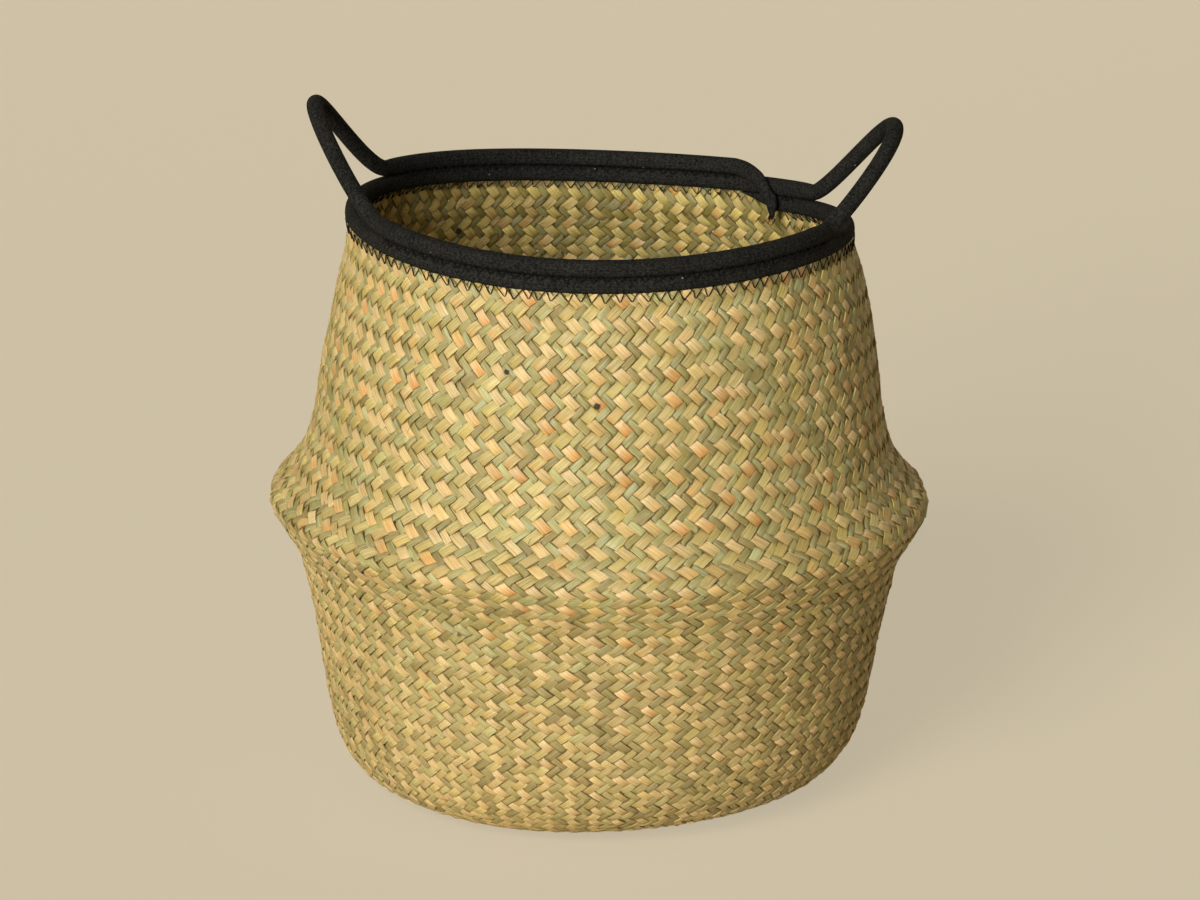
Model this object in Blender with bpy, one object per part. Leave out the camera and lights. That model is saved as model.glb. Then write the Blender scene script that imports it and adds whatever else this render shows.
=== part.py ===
"""Belly basket: a woven seagrass body with a folded belly, a sewn black cord rim and two cord handles.

The body is one weave in four zones: flat base, lower wall, belly fold and upper wall. One black cotton
cord runs twice round the upper edge as a spiral, and its upper round leaves the edge twice, as a handle
on the left and one on the right. Zigzag threads sew the cord to the weave and round to round.
The origin is the middle of the flat base, +Z is up, the handles stand at -X and +X. Units are metres.
"""
import math

import bmesh
import bpy
from mathutils import Matrix, Vector
from mathutils.geometry import interpolate_bezier

# Woven body
BASE_RADIUS = 0.0915
BELLY_RADIUS = 0.160
BELLY_HEIGHT = 0.1430
FOLD_FOOT_RADIUS = 0.1472
FOLD_DROP = 0.0250
FOLD_HEAD_RADIUS = 0.1430
FOLD_RISE = 0.0250
EDGE_RADIUS = 0.1212
WALL = 0.0026

# Height of the woven edge: a spiral that rises clockwise, on a gently waved rim
EDGE_HEIGHT = 0.2696
EDGE_TILT_SIDE = -0.0025
EDGE_TILT_BACK = -0.0050
EDGE_SADDLE = 0.0035
EDGE_SADDLE_TURNED = -0.0016
JUNCTION_ANGLE = math.radians(42)
JUNCTION_RAMP = math.radians(12)

# Cord: round in the handles, pressed to an oval where it is sewn down. Its end rolls in late: the roll's
# turn grows as the power TAIL_EASE of the way
CORD_DIAMETER = 0.0080
SEWN_WIDTH = 0.0084
SEWN_HEIGHT = 0.0077
CORD_INSET = 0.0030
PRESS_LENGTH = 0.0100
TAIL_THICKNESS = 0.0056
TAIL_WIDTH = 0.0060
TAIL_DROP = 0.0005
TAIL_LEAD = math.radians(10.6)
TAIL_ROLL = 0.0260
TAIL_EASE = 1.5

# Handles: rise and spread of the crown's middle line over the woven edge, and the curve of the crown
FOOT_ANGLE = math.radians(28.8)
RIGHT_FRONT_FOOT_ANGLE = math.radians(26.4)
LEFT_CROWN_RISE = 0.0664
LEFT_CROWN_SPREAD = 0.0150
LEFT_CROWN_CURVE = 0.0270
LEFT_LEAD = 0.0180
RIGHT_CROWN_RISE = 0.0549
RIGHT_CROWN_SPREAD = 0.0200
RIGHT_CROWN_CURVE = 0.0360
RIGHT_LEAD = 0.0130
FOOT_NECK_SHARE = 0.95

# Sewing thread and its zigzag
THREAD_DIAMETER = 0.0006
STITCH_PITCH = 0.0064
STITCH_REACH = 0.0038
EDGE_STITCH_BITE_SHARE = 0.57
ROUND_STITCH_BITE_SHARE = 0.50

# Clearance between pieces that touch
SEAT_GAP = 0.0003

# Curves of the wall as (height share, radius share) between the named radii and heights
LOWER_WALL_SHARES = (
    (0.0100, 0.100),
    (0.0390, 0.287),
    (0.089, 0.476),
    (0.191, 0.627),
    (0.364, 0.730),
    (0.610, 0.815),
    (0.856, 0.918),
)
BRIM_UNDER_SHARES = ((0.520, 0.590),)
BRIM_OVER_SHARES = ((0.480, 0.560),)
UPPER_WALL_SHARES = (
    (0.160, 0.215),
    (0.440, 0.425),
    (0.680, 0.600),
    (0.860, 0.800),
)

# Start of the cord: stations of its taper up the ramp, and how much its tip narrows
START_TAPER_SHARES = (0.8, 0.5)
START_NARROWING_SHARE = 0.5

# Facets
WALL_SEGMENTS = 60
SHORTEST_FACET_SHARE = 0.33
SHARP_ANGLE = math.radians(50)
BRIM_STEPS = 2
CORD_SIDES = 10
THREAD_SIDES = 4
HANDLE_STEPS = 11
TAIL_STEPS = 8
TAIL_DROP_STEPS = 3

ROUND_PITCH = SEWN_HEIGHT + SEAT_GAP
CORD_RING_RADIUS = EDGE_RADIUS - CORD_INSET
SEGMENT_ANGLE = math.tau / WALL_SEGMENTS
BACK_RIGHT_FOOT = FOOT_ANGLE
FRONT_RIGHT_FOOT = -RIGHT_FRONT_FOOT_ANGLE
FRONT_LEFT_FOOT = FOOT_ANGLE - math.pi
BACK_LEFT_FOOT = -FOOT_ANGLE - math.pi
TAIL_ANGLE = JUNCTION_ANGLE + TAIL_LEAD - math.tau
SEAM_START = JUNCTION_ANGLE - SEGMENT_ANGLE / 2.0
SEAM_CLEARANCE = PRESS_LENGTH / CORD_RING_RADIUS
STITCH_STAND_OFF = SEAT_GAP + THREAD_DIAMETER / 2.0


def clear_scene():
    """Start from an empty scene."""
    for item in list(bpy.data.objects):
        bpy.data.objects.remove(item, do_unlink=True)


def finish(name, colour, roughness):
    """One plain finish: dry plant fibre, cotton cord or thread."""
    material = bpy.data.materials.new(name)
    material.use_nodes = True
    shader = material.node_tree.nodes["Principled BSDF"]
    shader.inputs["Base Color"].default_value = (*colour, 1.0)
    shader.inputs["Roughness"].default_value = roughness
    shader.inputs["Metallic"].default_value = 0.0
    return material


def joint_frame(name, matrix, parent=None):
    """An empty that carries the pieces of one moving body, placed on the axis of its joint."""
    empty = bpy.data.objects.new(name, None)
    empty.empty_display_size = CORD_DIAMETER
    bpy.context.scene.collection.objects.link(empty)
    if parent is None:
        empty.matrix_basis = matrix
    else:
        empty.parent = parent[0]
        empty.matrix_basis = parent[1].inverted() @ matrix
    return empty, matrix


def add_piece(name, points, faces, material, frame=None):
    """Make one closed solid from points in basket coordinates and hang it on its joint's frame."""
    origin = frame[1] if frame else Matrix.Identity(4)
    to_frame = origin.inverted()
    mesh = bpy.data.meshes.new(name)
    mesh.from_pydata([to_frame @ Vector(point) for point in points], [], faces)
    shape = bmesh.new()
    shape.from_mesh(mesh)
    bmesh.ops.recalc_face_normals(shape, faces=shape.faces)
    shape.to_mesh(mesh)
    shape.free()
    mesh.shade_smooth()
    mesh.set_sharp_from_angle(angle=SHARP_ANGLE)
    mesh.materials.append(material)
    piece = bpy.data.objects.new(name, mesh)
    bpy.context.scene.collection.objects.link(piece)
    if frame:
        piece.parent = frame[0]
    return piece


def polar(radius, angle, height):
    """Point at a radius and angle round the basket's axis."""
    return Vector((radius * math.cos(angle), radius * math.sin(angle), height))


def smooth_step(share):
    """Ease from 0 to 1 with level ends."""
    share = min(max(share, 0.0), 1.0)
    return share * share * (3.0 - 2.0 * share)


def turn_share(angle):
    """How far round the spiral an angle lies, clockwise from the junction, from 0 to 1."""
    return ((JUNCTION_ANGLE - angle) % math.tau) / math.tau


def rim_wave(angle):
    """Height of the waved rim without its spiral."""
    tilt = EDGE_TILT_SIDE * math.cos(angle) + EDGE_TILT_BACK * math.sin(angle)
    saddle = EDGE_SADDLE * math.cos(2.0 * angle) + EDGE_SADDLE_TURNED * math.sin(2.0 * angle)
    return EDGE_HEIGHT + tilt + saddle


def ramp_share(angle):
    """Share of the junction's ramp, 0 at its low end and 1 where the edge has its full height."""
    past = (angle - JUNCTION_ANGLE + math.pi) % math.tau - math.pi
    return past / JUNCTION_RAMP if 0.0 <= past < JUNCTION_RAMP else 1.0


def edge_height(angle):
    """Top of the woven edge: it steps down one round of cord over the junction's ramp."""
    return rim_wave(angle) + ROUND_PITCH * turn_share(angle) * ramp_share(angle)


def between(start, end, shares):
    """Stations of a stretch of the wall's curve, from shares of its rise and of its change of radius."""
    return [
        (start[0] + (end[0] - start[0]) * across, start[1] + (end[1] - start[1]) * up)
        for up, across in shares
    ]


def spline(stations, steps):
    """Catmull-Rom curve through stations in the plane, with steps[i] pieces in stretch i."""
    points = [Vector(station) for station in stations]
    ends = [points[0] * 2.0 - points[1], *points, points[-1] * 2.0 - points[-2]]
    curve = []
    for index, count in enumerate(steps):
        before, start, end, after = ends[index:index + 4]
        for step in range(count):
            t = step / count
            curve.append(
                start
                + (end - before) * (0.5 * t)
                + (before * 2.0 - start * 5.0 + end * 4.0 - after) * (0.5 * t * t)
                + (start * 3.0 - before - end * 3.0 + after) * (0.5 * t * t * t)
            )
    return curve + [points[-1]]


def wall_curve():
    """Outer meridian of the whole body as (radius, height), and the places where its zones meet."""
    base = (BASE_RADIUS, 0.0)
    fold_foot = (FOLD_FOOT_RADIUS, BELLY_HEIGHT - FOLD_DROP)
    belly = (BELLY_RADIUS, BELLY_HEIGHT)
    fold_head = (FOLD_HEAD_RADIUS, BELLY_HEIGHT + FOLD_RISE)
    edge = (EDGE_RADIUS, EDGE_HEIGHT)
    lower = between(base, fold_foot, LOWER_WALL_SHARES)
    under = between(fold_foot, belly, BRIM_UNDER_SHARES)
    over = between(belly, fold_head, BRIM_OVER_SHARES)
    upper = between(fold_head, edge, UPPER_WALL_SHARES)
    stations = [base, *lower, fold_foot, *under, belly, *over, fold_head, *upper, edge]
    brim_stretches = len(under) + len(over) + 2
    steps = [1] * (len(lower) + 1) + [BRIM_STEPS] * brim_stretches + [1] * (len(upper) + 1)
    foot_index = len(lower) + 1
    head_index = foot_index + BRIM_STEPS * brim_stretches
    return spline(stations, steps), foot_index, head_index


def meridian_directions(curve):
    """Unit direction of the wall at each point of its meridian, level where it leaves the base."""
    directions = [Vector((1.0, 0.0))]
    for before, after in zip(curve[:-2], curve[2:]):
        directions.append((after - before).normalized())
    directions.append((curve[-1] - curve[-2]).normalized())
    return directions


def wall_zone(first, last):
    """Outer and inner meridians of one zone, a seat gap short of its neighbours."""
    curve, foot_index, head_index = wall_curve()
    directions = meridian_directions(curve)
    outer = [point.copy() for point in curve[first:last + 1]]
    along = directions[first:last + 1]
    if first in (foot_index, head_index):
        outer[0] += along[0] * (SEAT_GAP / 2.0)
    if last in (foot_index, head_index):
        outer[-1] -= along[-1] * (SEAT_GAP / 2.0)
    inner = [point + Vector((-way.y, way.x)) * WALL for point, way in zip(outer, along)]
    if last == len(curve) - 1:
        inner[-1] = outer[-1] - Vector((WALL, 0.0))
    return outer, inner


def lifted(height, angle):
    """Height of a wall point once the upper wall follows the waved rim."""
    fold_head = BELLY_HEIGHT + FOLD_RISE
    share = smooth_step((height - fold_head) / (EDGE_HEIGHT - fold_head))
    return height + (edge_height(angle) - EDGE_HEIGHT) * share


def wall_radius(meridian, angle, height):
    """Radius of a meridian of the upper wall at a given height."""
    for low, high in zip(meridian[:-1], meridian[1:]):
        low_height, high_height = lifted(low.y, angle), lifted(high.y, angle)
        if low_height <= height <= high_height:
            share = (height - low_height) / (high_height - low_height)
            return low.x + (high.x - low.x) * share
    return meridian[-1].x


def add_wall(name, first, last, material, frame=None):
    """One zone of the wall as a closed ring of the wall's thickness."""
    outer, inner = wall_zone(first, last)
    section = outer + inner[::-1]
    points = []
    for segment in range(WALL_SEGMENTS):
        angle = segment * SEGMENT_ANGLE
        points += [polar(point.x, angle, lifted(point.y, angle)) for point in section]
    count = len(section)
    faces = []
    for segment in range(WALL_SEGMENTS):
        here = segment * count
        there = (segment + 1) % WALL_SEGMENTS * count
        for index in range(count):
            following = (index + 1) % count
            faces.append((here + index, here + following, there + following, there + index))
    return add_piece(name, points, faces, material, frame)


def add_base(material):
    """Flat woven round under the basket, inside the foot of the lower wall."""
    radius = BASE_RADIUS - SEAT_GAP
    points = []
    for height in (0.0, WALL):
        points += [polar(radius, segment * SEGMENT_ANGLE, height) for segment in range(WALL_SEGMENTS)]
    lower = tuple(range(WALL_SEGMENTS))
    upper = tuple(range(WALL_SEGMENTS, 2 * WALL_SEGMENTS))
    faces = [lower[::-1], upper]
    for segment in range(WALL_SEGMENTS):
        following = (segment + 1) % WALL_SEGMENTS
        faces.append((lower[segment], lower[following], upper[following], upper[segment]))
    return add_piece("woven_base", points, faces, material)


def sweep(path, halves, sides, side_way, cuts=(None, None)):
    """Points and faces of a tube. halves gives its half width and half height at each path point.

    The section keeps its own way round without twisting, starting with its width along side_way.
    A cut is a plane (point, normal) that trims an end; without one the end is square.
    """
    count = len(path)
    ways = []
    for index in range(count):
        before, after = path[max(index - 1, 0)], path[min(index + 1, count - 1)]
        ways.append((after - before).normalized())
    side = (side_way - ways[0] * side_way.dot(ways[0])).normalized()
    points = []
    for index, (centre, way) in enumerate(zip(path, ways)):
        if index:
            side = ways[index - 1].rotation_difference(way) @ side
            side = (side - way * side.dot(way)).normalized()
        rise = way.cross(side)
        half_width, half_height = halves[index]
        for corner in range(sides):
            turn = math.tau * (corner + 0.5) / sides
            points.append(centre + side * half_width * math.cos(turn) + rise * half_height * math.sin(turn))
    for cut, first, way in ((cuts[0], 0, ways[0]), (cuts[1], (count - 1) * sides, ways[-1])):
        if cut:
            for corner in range(first, first + sides):
                slide = (cut[0] - points[corner]).dot(cut[1]) / way.dot(cut[1])
                points[corner] = points[corner] + way * slide
    faces = [tuple(range(sides)), tuple(range((count - 1) * sides, count * sides))]
    for index in range(count - 1):
        for corner in range(sides):
            following = (corner + 1) % sides
            low, high = index * sides, (index + 1) * sides
            faces.append((low + corner, low + following, high + following, high + corner))
    return points, faces


def ring_angles(start, end):
    """Angles from start clockwise to end, with the wall's own stations between them."""
    angles = [start]
    step = math.ceil(start / SEGMENT_ANGLE) - 1
    least = SEGMENT_ANGLE * SHORTEST_FACET_SHARE
    while step * SEGMENT_ANGLE > end + least:
        if start - step * SEGMENT_ANGLE > least:
            angles.append(step * SEGMENT_ANGLE)
        step -= 1
    return angles + [end]


def underside(angle, level):
    """Height under a sewn round. level counts turns of the spiral from its start at the junction."""
    return rim_wave(angle) + ROUND_PITCH * level + SEAT_GAP


def sewn_halves(distance_to_foot):
    """Half width and half height of the cord: an oval that turns round over the last stretch to a foot."""
    pressed = smooth_step(distance_to_foot / PRESS_LENGTH)
    half_width = (CORD_DIAMETER + (SEWN_WIDTH - CORD_DIAMETER) * pressed) / 2.0
    half_height = (CORD_DIAMETER + (SEWN_HEIGHT - CORD_DIAMETER) * pressed) / 2.0
    return half_width, half_height


def spiral_level(angle, turn):
    """Turns of the spiral done at an angle, which falls clockwise from the junction to a turn below it."""
    return turn + (JUNCTION_ANGLE - angle) / math.tau


def foot_point(angle, level):
    """Middle of the cord where a handle leaves the rim."""
    return polar(CORD_RING_RADIUS, angle, underside(angle, level) + CORD_DIAMETER / 2.0)


def feet(front_angle, back_angle):
    """Front foot, back foot and unit axis of a handle, which turns about the line through its feet."""
    front = foot_point(front_angle, spiral_level(front_angle, 1))
    back = foot_point(back_angle, spiral_level(back_angle, 1))
    return front, back, (back - front).normalized()


def round_path(start, end, turn, foot_start, foot_end):
    """Path and sections of a sewn round from start clockwise to end. The feet taper to the round cord."""
    path, halves = [], []
    for angle in ring_angles(start, end):
        to_foot = PRESS_LENGTH
        if foot_start:
            to_foot = min(to_foot, (start - angle) * CORD_RING_RADIUS)
        if foot_end:
            to_foot = min(to_foot, (angle - end) * CORD_RING_RADIUS)
        half_width, half_height = sewn_halves(to_foot)
        height = underside(angle, spiral_level(angle, turn)) + half_height
        path.append(polar(CORD_RING_RADIUS, angle, height))
        halves.append((half_width, half_height))
    return path, halves


def start_taper():
    """Tapered start of the cord, from its tip to the junction, in the wedge over the edge's ramp."""
    path, halves = [], []
    for share in START_TAPER_SHARES:
        angle = JUNCTION_ANGLE + share * JUNCTION_RAMP
        full_rise = ROUND_PITCH * turn_share(angle)
        bottom = rim_wave(angle) + full_rise * share + SEAT_GAP
        height = full_rise * (1.0 - share) - SEAT_GAP
        path.append(polar(CORD_RING_RADIUS, angle, bottom + height / 2.0))
        half_width = SEWN_WIDTH * (1.0 - share * START_NARROWING_SHARE) / 2.0
        halves.append((half_width, height / 2.0))
    return path, halves


def add_first_turn(material, frame):
    """The cord from its tapered start once round on the woven edge, and on to the right handle's foot."""
    end = BACK_RIGHT_FOOT - math.tau
    path, halves = start_taper()
    ring, ring_halves = round_path(JUNCTION_ANGLE, end, 0, False, True)
    _, back, axis = feet(FRONT_RIGHT_FOOT, BACK_RIGHT_FOOT)
    cut = (back + axis * (SEAT_GAP / 2.0), axis)
    points, faces = sweep(
        path + ring, halves + ring_halves, CORD_SIDES, polar(1.0, JUNCTION_ANGLE, 0.0), (None, cut)
    )
    return add_piece("first_turn_cord", points, faces, material, frame)


def add_front_run(material, frame):
    """The cord's upper round across the front, from the right handle's foot to the left handle's."""
    path, halves = round_path(FRONT_RIGHT_FOOT, FRONT_LEFT_FOOT, 1, True, True)
    right_front, _, right_axis = feet(FRONT_RIGHT_FOOT, BACK_RIGHT_FOOT)
    left_front, _, left_axis = feet(FRONT_LEFT_FOOT, BACK_LEFT_FOOT)
    cuts = (
        (right_front - right_axis * (SEAT_GAP / 2.0), right_axis),
        (left_front - left_axis * (SEAT_GAP / 2.0), left_axis),
    )
    points, faces = sweep(path, halves, CORD_SIDES, polar(1.0, FRONT_RIGHT_FOOT, 0.0), cuts)
    return add_piece("front_run_cord", points, faces, material, frame)


def tail_path():
    """The cord's end: it rolls over the first turn to the inside and hangs down to its cut end."""
    above = SEWN_HEIGHT + SEAT_GAP
    beside = (SEWN_WIDTH + TAIL_THICKNESS) / 2.0 + THREAD_DIAMETER + 2.0 * SEAT_GAP
    roll = TAIL_ROLL / CORD_RING_RADIUS
    path = []
    for step in range(1, TAIL_STEPS + 1):
        share = step / TAIL_STEPS
        over = math.pi / 2.0 * share ** TAIL_EASE
        angle = TAIL_ANGLE - roll * share
        centre = underside(angle, spiral_level(angle, 0)) + SEWN_HEIGHT / 2.0
        radius = CORD_RING_RADIUS - beside * math.sin(over)
        path.append(polar(radius, angle, centre + above * math.cos(over)))
    end_height = rim_wave(JUNCTION_ANGLE) - TAIL_DROP
    bend = path[-1]
    for step in range(1, TAIL_DROP_STEPS + 1):
        share = step / TAIL_DROP_STEPS
        path.append(Vector((bend.x, bend.y, bend.z + (end_height - bend.z) * share)))
    return path


def add_back_run(material, frame):
    """The cord's upper round across the back, from the left handle's foot to its tucked end."""
    path, halves = round_path(BACK_LEFT_FOOT, TAIL_ANGLE, 1, True, False)
    tail = tail_path()
    for index in range(1, len(tail) + 1):
        thinned = smooth_step(index / TAIL_STEPS)
        narrowed = smooth_step(index / len(tail))
        half_width = (SEWN_WIDTH + (TAIL_THICKNESS - SEWN_WIDTH) * thinned) / 2.0
        half_height = (SEWN_HEIGHT + (TAIL_WIDTH - SEWN_HEIGHT) * narrowed) / 2.0
        halves.append((half_width, half_height))
    _, left_back, left_axis = feet(FRONT_LEFT_FOOT, BACK_LEFT_FOOT)
    cut = (left_back + left_axis * (SEAT_GAP / 2.0), left_axis)
    points, faces = sweep(path + tail, halves, CORD_SIDES, polar(1.0, BACK_LEFT_FOOT, 0.0), (cut, None))
    return add_piece("back_run_cord", points, faces, material, frame)


def handle_path(front, back, front_angle, back_angle, crown, lead, crown_curve):
    """Middle line of a handle: it leaves each foot along the rim, bends up and meets at the crown."""
    along = Vector((0.0, crown_curve, 0.0))
    toward_crown = 1.0 if crown.x > 0.0 else -1.0
    front_way = polar(toward_crown, front_angle + math.pi / 2.0, 0.0)
    back_way = polar(toward_crown, back_angle - math.pi / 2.0, 0.0)
    rising = interpolate_bezier(front, front + front_way * lead, crown - along, crown, HANDLE_STEPS)
    falling = interpolate_bezier(crown, crown + along, back + back_way * lead, back, HANDLE_STEPS)
    return rising + falling[1:]


def handle_frame(name, front, back, axis, carrier):
    """The joint frame of a handle: its Y runs through both feet, front to back, and its Z stands up."""
    across = axis.cross(Vector((0.0, 0.0, 1.0))).normalized()
    turned = Matrix((across, axis, across.cross(axis))).transposed().to_4x4()
    return joint_frame(name, Matrix.Translation((front + back) / 2.0) @ turned, carrier)


def add_handle(name, angles, crown, lead, crown_curve, material, carrier):
    """One handle: the upper round of cord lifted off the rim between its two sewn feet.

    Its ends are necked by the stitches, and their faces are round and square to the handle's axis,
    so they keep clear of the rim as the handle turns.
    """
    front, back, axis = feet(angles[0], angles[1])
    frame = handle_frame(name + "_axis", front, back, axis, carrier)
    path = handle_path(front, back, angles[0], angles[1], crown, lead, crown_curve)
    halves = [(CORD_DIAMETER / 2.0, CORD_DIAMETER / 2.0)] * len(path)
    neck = CORD_DIAMETER * FOOT_NECK_SHARE / 2.0
    for index, way in ((0, path[1] - path[0]), (-1, path[-1] - path[-2])):
        halves[index] = (neck * way.normalized().dot(axis), neck)
    cuts = (
        (front + axis * (SEAT_GAP / 2.0), axis),
        (back - axis * (SEAT_GAP / 2.0), axis),
    )
    points, faces = sweep(path, halves, CORD_SIDES, polar(1.0, angles[0], 0.0), cuts)
    return add_piece(name, points, faces, material, frame)


def on_cord_face(angle, turn, bite, face):
    """Needle hole on a sewn round's outer face (1) or inner face (-1), bite of its half height up."""
    centre = underside(angle, spiral_level(angle, turn)) + SEWN_HEIGHT / 2.0
    half_width, half_height = SEWN_WIDTH / 2.0, SEWN_HEIGHT / 2.0
    out, up = half_width * math.sqrt(1.0 - bite * bite), half_height * bite
    normal = Vector((out / half_width ** 2, up / half_height ** 2)).normalized()
    out += normal.x * STITCH_STAND_OFF
    return polar(CORD_RING_RADIUS + face * out, angle, centre + up + normal.y * STITCH_STAND_OFF)


def zigzag(start, end, low_point, high_point):
    """Zigzag of stitches from start clockwise to end, between a low and a high row of needle holes."""
    stitches = max(2, round((start - end) * CORD_RING_RADIUS / STITCH_PITCH))
    path = []
    for index in range(2 * stitches + 1):
        angle = start + (end - start) * index / (2 * stitches)
        path.append(high_point(angle) if index % 2 else low_point(angle))
    return path


def add_seam(name, path, material, frame):
    """One sewn thread as a thin closed tube."""
    half = THREAD_DIAMETER / 2.0
    points, faces = sweep(path, [(half, half)] * len(path), THREAD_SIDES, Vector((0.0, 0.0, 1.0)))
    return add_piece(name, points, faces, material, frame)


def add_edge_seam(name, face, material, frame):
    """Zigzag that sews the first turn to the woven edge, on its outer face (1) or inner face (-1)."""
    curve, _, head_index = wall_curve()
    outer, inner = wall_zone(head_index, len(curve) - 1)
    meridian = outer if face > 0 else inner

    def on_weave(angle):
        height = edge_height(angle) - STITCH_REACH
        return polar(wall_radius(meridian, angle, height) + face * STITCH_STAND_OFF, angle, height)

    def on_cord(angle):
        return on_cord_face(angle, 0, -EDGE_STITCH_BITE_SHARE, face)

    end = JUNCTION_ANGLE + JUNCTION_RAMP - math.tau
    return add_seam(name, zigzag(SEAM_START, end, on_weave, on_cord), material, frame)


def add_round_seam(name, start, end, face, material, frame):
    """Zigzag that sews the upper round to the lower, on the outer face (1) or the inner face (-1)."""

    def on_lower(angle):
        return on_cord_face(angle, 0, ROUND_STITCH_BITE_SHARE, face)

    def on_upper(angle):
        return on_cord_face(angle, 1, -ROUND_STITCH_BITE_SHARE, face)

    return add_seam(name, zigzag(start, end, on_lower, on_upper), material, frame)


def build():
    """Make every piece of the basket on its body."""
    clear_scene()
    seagrass = finish("seagrass", (0.52, 0.41, 0.20), 0.72)
    cotton = finish("black_cotton", (0.018, 0.017, 0.014), 0.92)
    thread = finish("black_thread", (0.012, 0.012, 0.010), 0.75)
    curve, foot_index, head_index = wall_curve()

    add_base(seagrass)
    add_wall("lower_wall", 0, foot_index, seagrass)
    add_wall("belly_fold", foot_index, head_index, seagrass)

    upper = joint_frame("upper_body_slide", Matrix.Translation((0.0, 0.0, BELLY_HEIGHT + FOLD_RISE)))
    add_wall("upper_wall", head_index, len(curve) - 1, seagrass, upper)
    add_first_turn(cotton, upper)
    add_front_run(cotton, upper)
    add_back_run(cotton, upper)
    stretches = (
        ("right_round_seam_", SEAM_START, BACK_RIGHT_FOOT + SEAM_CLEARANCE),
        ("front_round_seam_", FRONT_RIGHT_FOOT - SEAM_CLEARANCE, FRONT_LEFT_FOOT + SEAM_CLEARANCE),
        ("back_round_seam_", BACK_LEFT_FOOT - SEAM_CLEARANCE, JUNCTION_ANGLE + JUNCTION_RAMP - math.tau),
    )
    for side, face in (("outer", 1), ("inner", -1)):
        add_edge_seam("edge_seam_" + side, face, thread, upper)
        for name, start, end in stretches:
            add_round_seam(name + side, start, end, face, thread, upper)

    left_crown = Vector((-EDGE_RADIUS - LEFT_CROWN_SPREAD, 0.0, EDGE_HEIGHT + LEFT_CROWN_RISE))
    right_crown = Vector((EDGE_RADIUS + RIGHT_CROWN_SPREAD, 0.0, EDGE_HEIGHT + RIGHT_CROWN_RISE))
    left_feet = (FRONT_LEFT_FOOT, BACK_LEFT_FOOT)
    right_feet = (FRONT_RIGHT_FOOT, BACK_RIGHT_FOOT)
    add_handle("left_handle", left_feet, left_crown, LEFT_LEAD, LEFT_CROWN_CURVE, cotton, upper)
    add_handle("right_handle", right_feet, right_crown, RIGHT_LEAD, RIGHT_CROWN_CURVE, cotton, upper)


if __name__ == "__main__":
    build()
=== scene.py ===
"""Looks of a belly basket: woven seagrass strips, a sewn black cord rim with two handles, and its studio.

Lengths are in metres and angles in radians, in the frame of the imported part.
"""

import logging
import math
from dataclasses import dataclass, field
from enum import Enum
from typing import Any, Sequence, Union

import bmesh
import bpy
import numpy as np
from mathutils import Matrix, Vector
from mathutils.geometry import interpolate_bezier


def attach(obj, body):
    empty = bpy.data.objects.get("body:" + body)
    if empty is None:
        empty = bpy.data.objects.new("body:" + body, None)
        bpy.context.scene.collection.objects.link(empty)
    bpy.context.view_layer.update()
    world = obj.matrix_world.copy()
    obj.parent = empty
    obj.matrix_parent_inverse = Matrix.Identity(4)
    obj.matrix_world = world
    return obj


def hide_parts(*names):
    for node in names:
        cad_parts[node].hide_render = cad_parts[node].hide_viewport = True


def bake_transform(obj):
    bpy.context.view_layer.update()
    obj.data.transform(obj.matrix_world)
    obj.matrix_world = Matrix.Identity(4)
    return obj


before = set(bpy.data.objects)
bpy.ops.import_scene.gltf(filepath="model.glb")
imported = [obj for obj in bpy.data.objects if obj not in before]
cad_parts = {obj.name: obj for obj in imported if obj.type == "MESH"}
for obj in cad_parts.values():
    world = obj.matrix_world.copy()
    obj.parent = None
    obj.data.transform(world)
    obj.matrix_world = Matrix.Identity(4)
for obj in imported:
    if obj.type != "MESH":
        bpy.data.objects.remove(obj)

LOG = logging.getLogger("belly_basket")
LOWER_BODY = "lower_body"
UPPER_BODY = "upper_body"
GEOMETRY_TREE = "GeometryNodeTree"
SHADER_TREE = "ShaderNodeTree"
UP = Vector((0.0, 0.0, 1.0))

Colour = tuple[float, float, float, float]


def srgb(red: int, green: int, blue: int) -> Colour:
    """Turn a display colour into the linear colour that a shader takes.

    Args:
        red: Display red, 0 to 255.
        green: Display green, 0 to 255.
        blue: Display blue, 0 to 255.

    Returns:
        The linear colour, opaque.
    """
    shares = (value / 255 for value in (red, green, blue))
    linear = (v / 12.92 if v <= 0.04045 else ((v + 0.055) / 1.055) ** 2.4 for v in shares)
    return (*linear, 1.0)


# Node graphs


class Field:
    """A value that varies over a surface, so that node maths reads as arithmetic."""

    def __init__(self, graph: "Graph", socket: bpy.types.NodeSocket) -> None:
        """Keep the graph and the socket that gives the value."""
        self.graph = graph
        self.socket = socket

    def __add__(self, other: "Value") -> "Field":
        """Add."""
        return self.graph.math("ADD", self, other)

    __radd__ = __add__

    def __mul__(self, other: "Value") -> "Field":
        """Multiply."""
        return self.graph.math("MULTIPLY", self, other)

    __rmul__ = __mul__

    def __sub__(self, other: "Value") -> "Field":
        """Subtract."""
        return self.graph.math("SUBTRACT", self, other)

    def __rsub__(self, other: "Value") -> "Field":
        """Subtract this from a number."""
        return self.graph.math("SUBTRACT", other, self)

    def __truediv__(self, other: "Value") -> "Field":
        """Divide."""
        return self.graph.math("DIVIDE", self, other)

    def __rtruediv__(self, other: "Value") -> "Field":
        """Divide a number by this."""
        return self.graph.math("DIVIDE", other, self)


Value = Union[Field, float, int, Sequence[float], str, Any]


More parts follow.
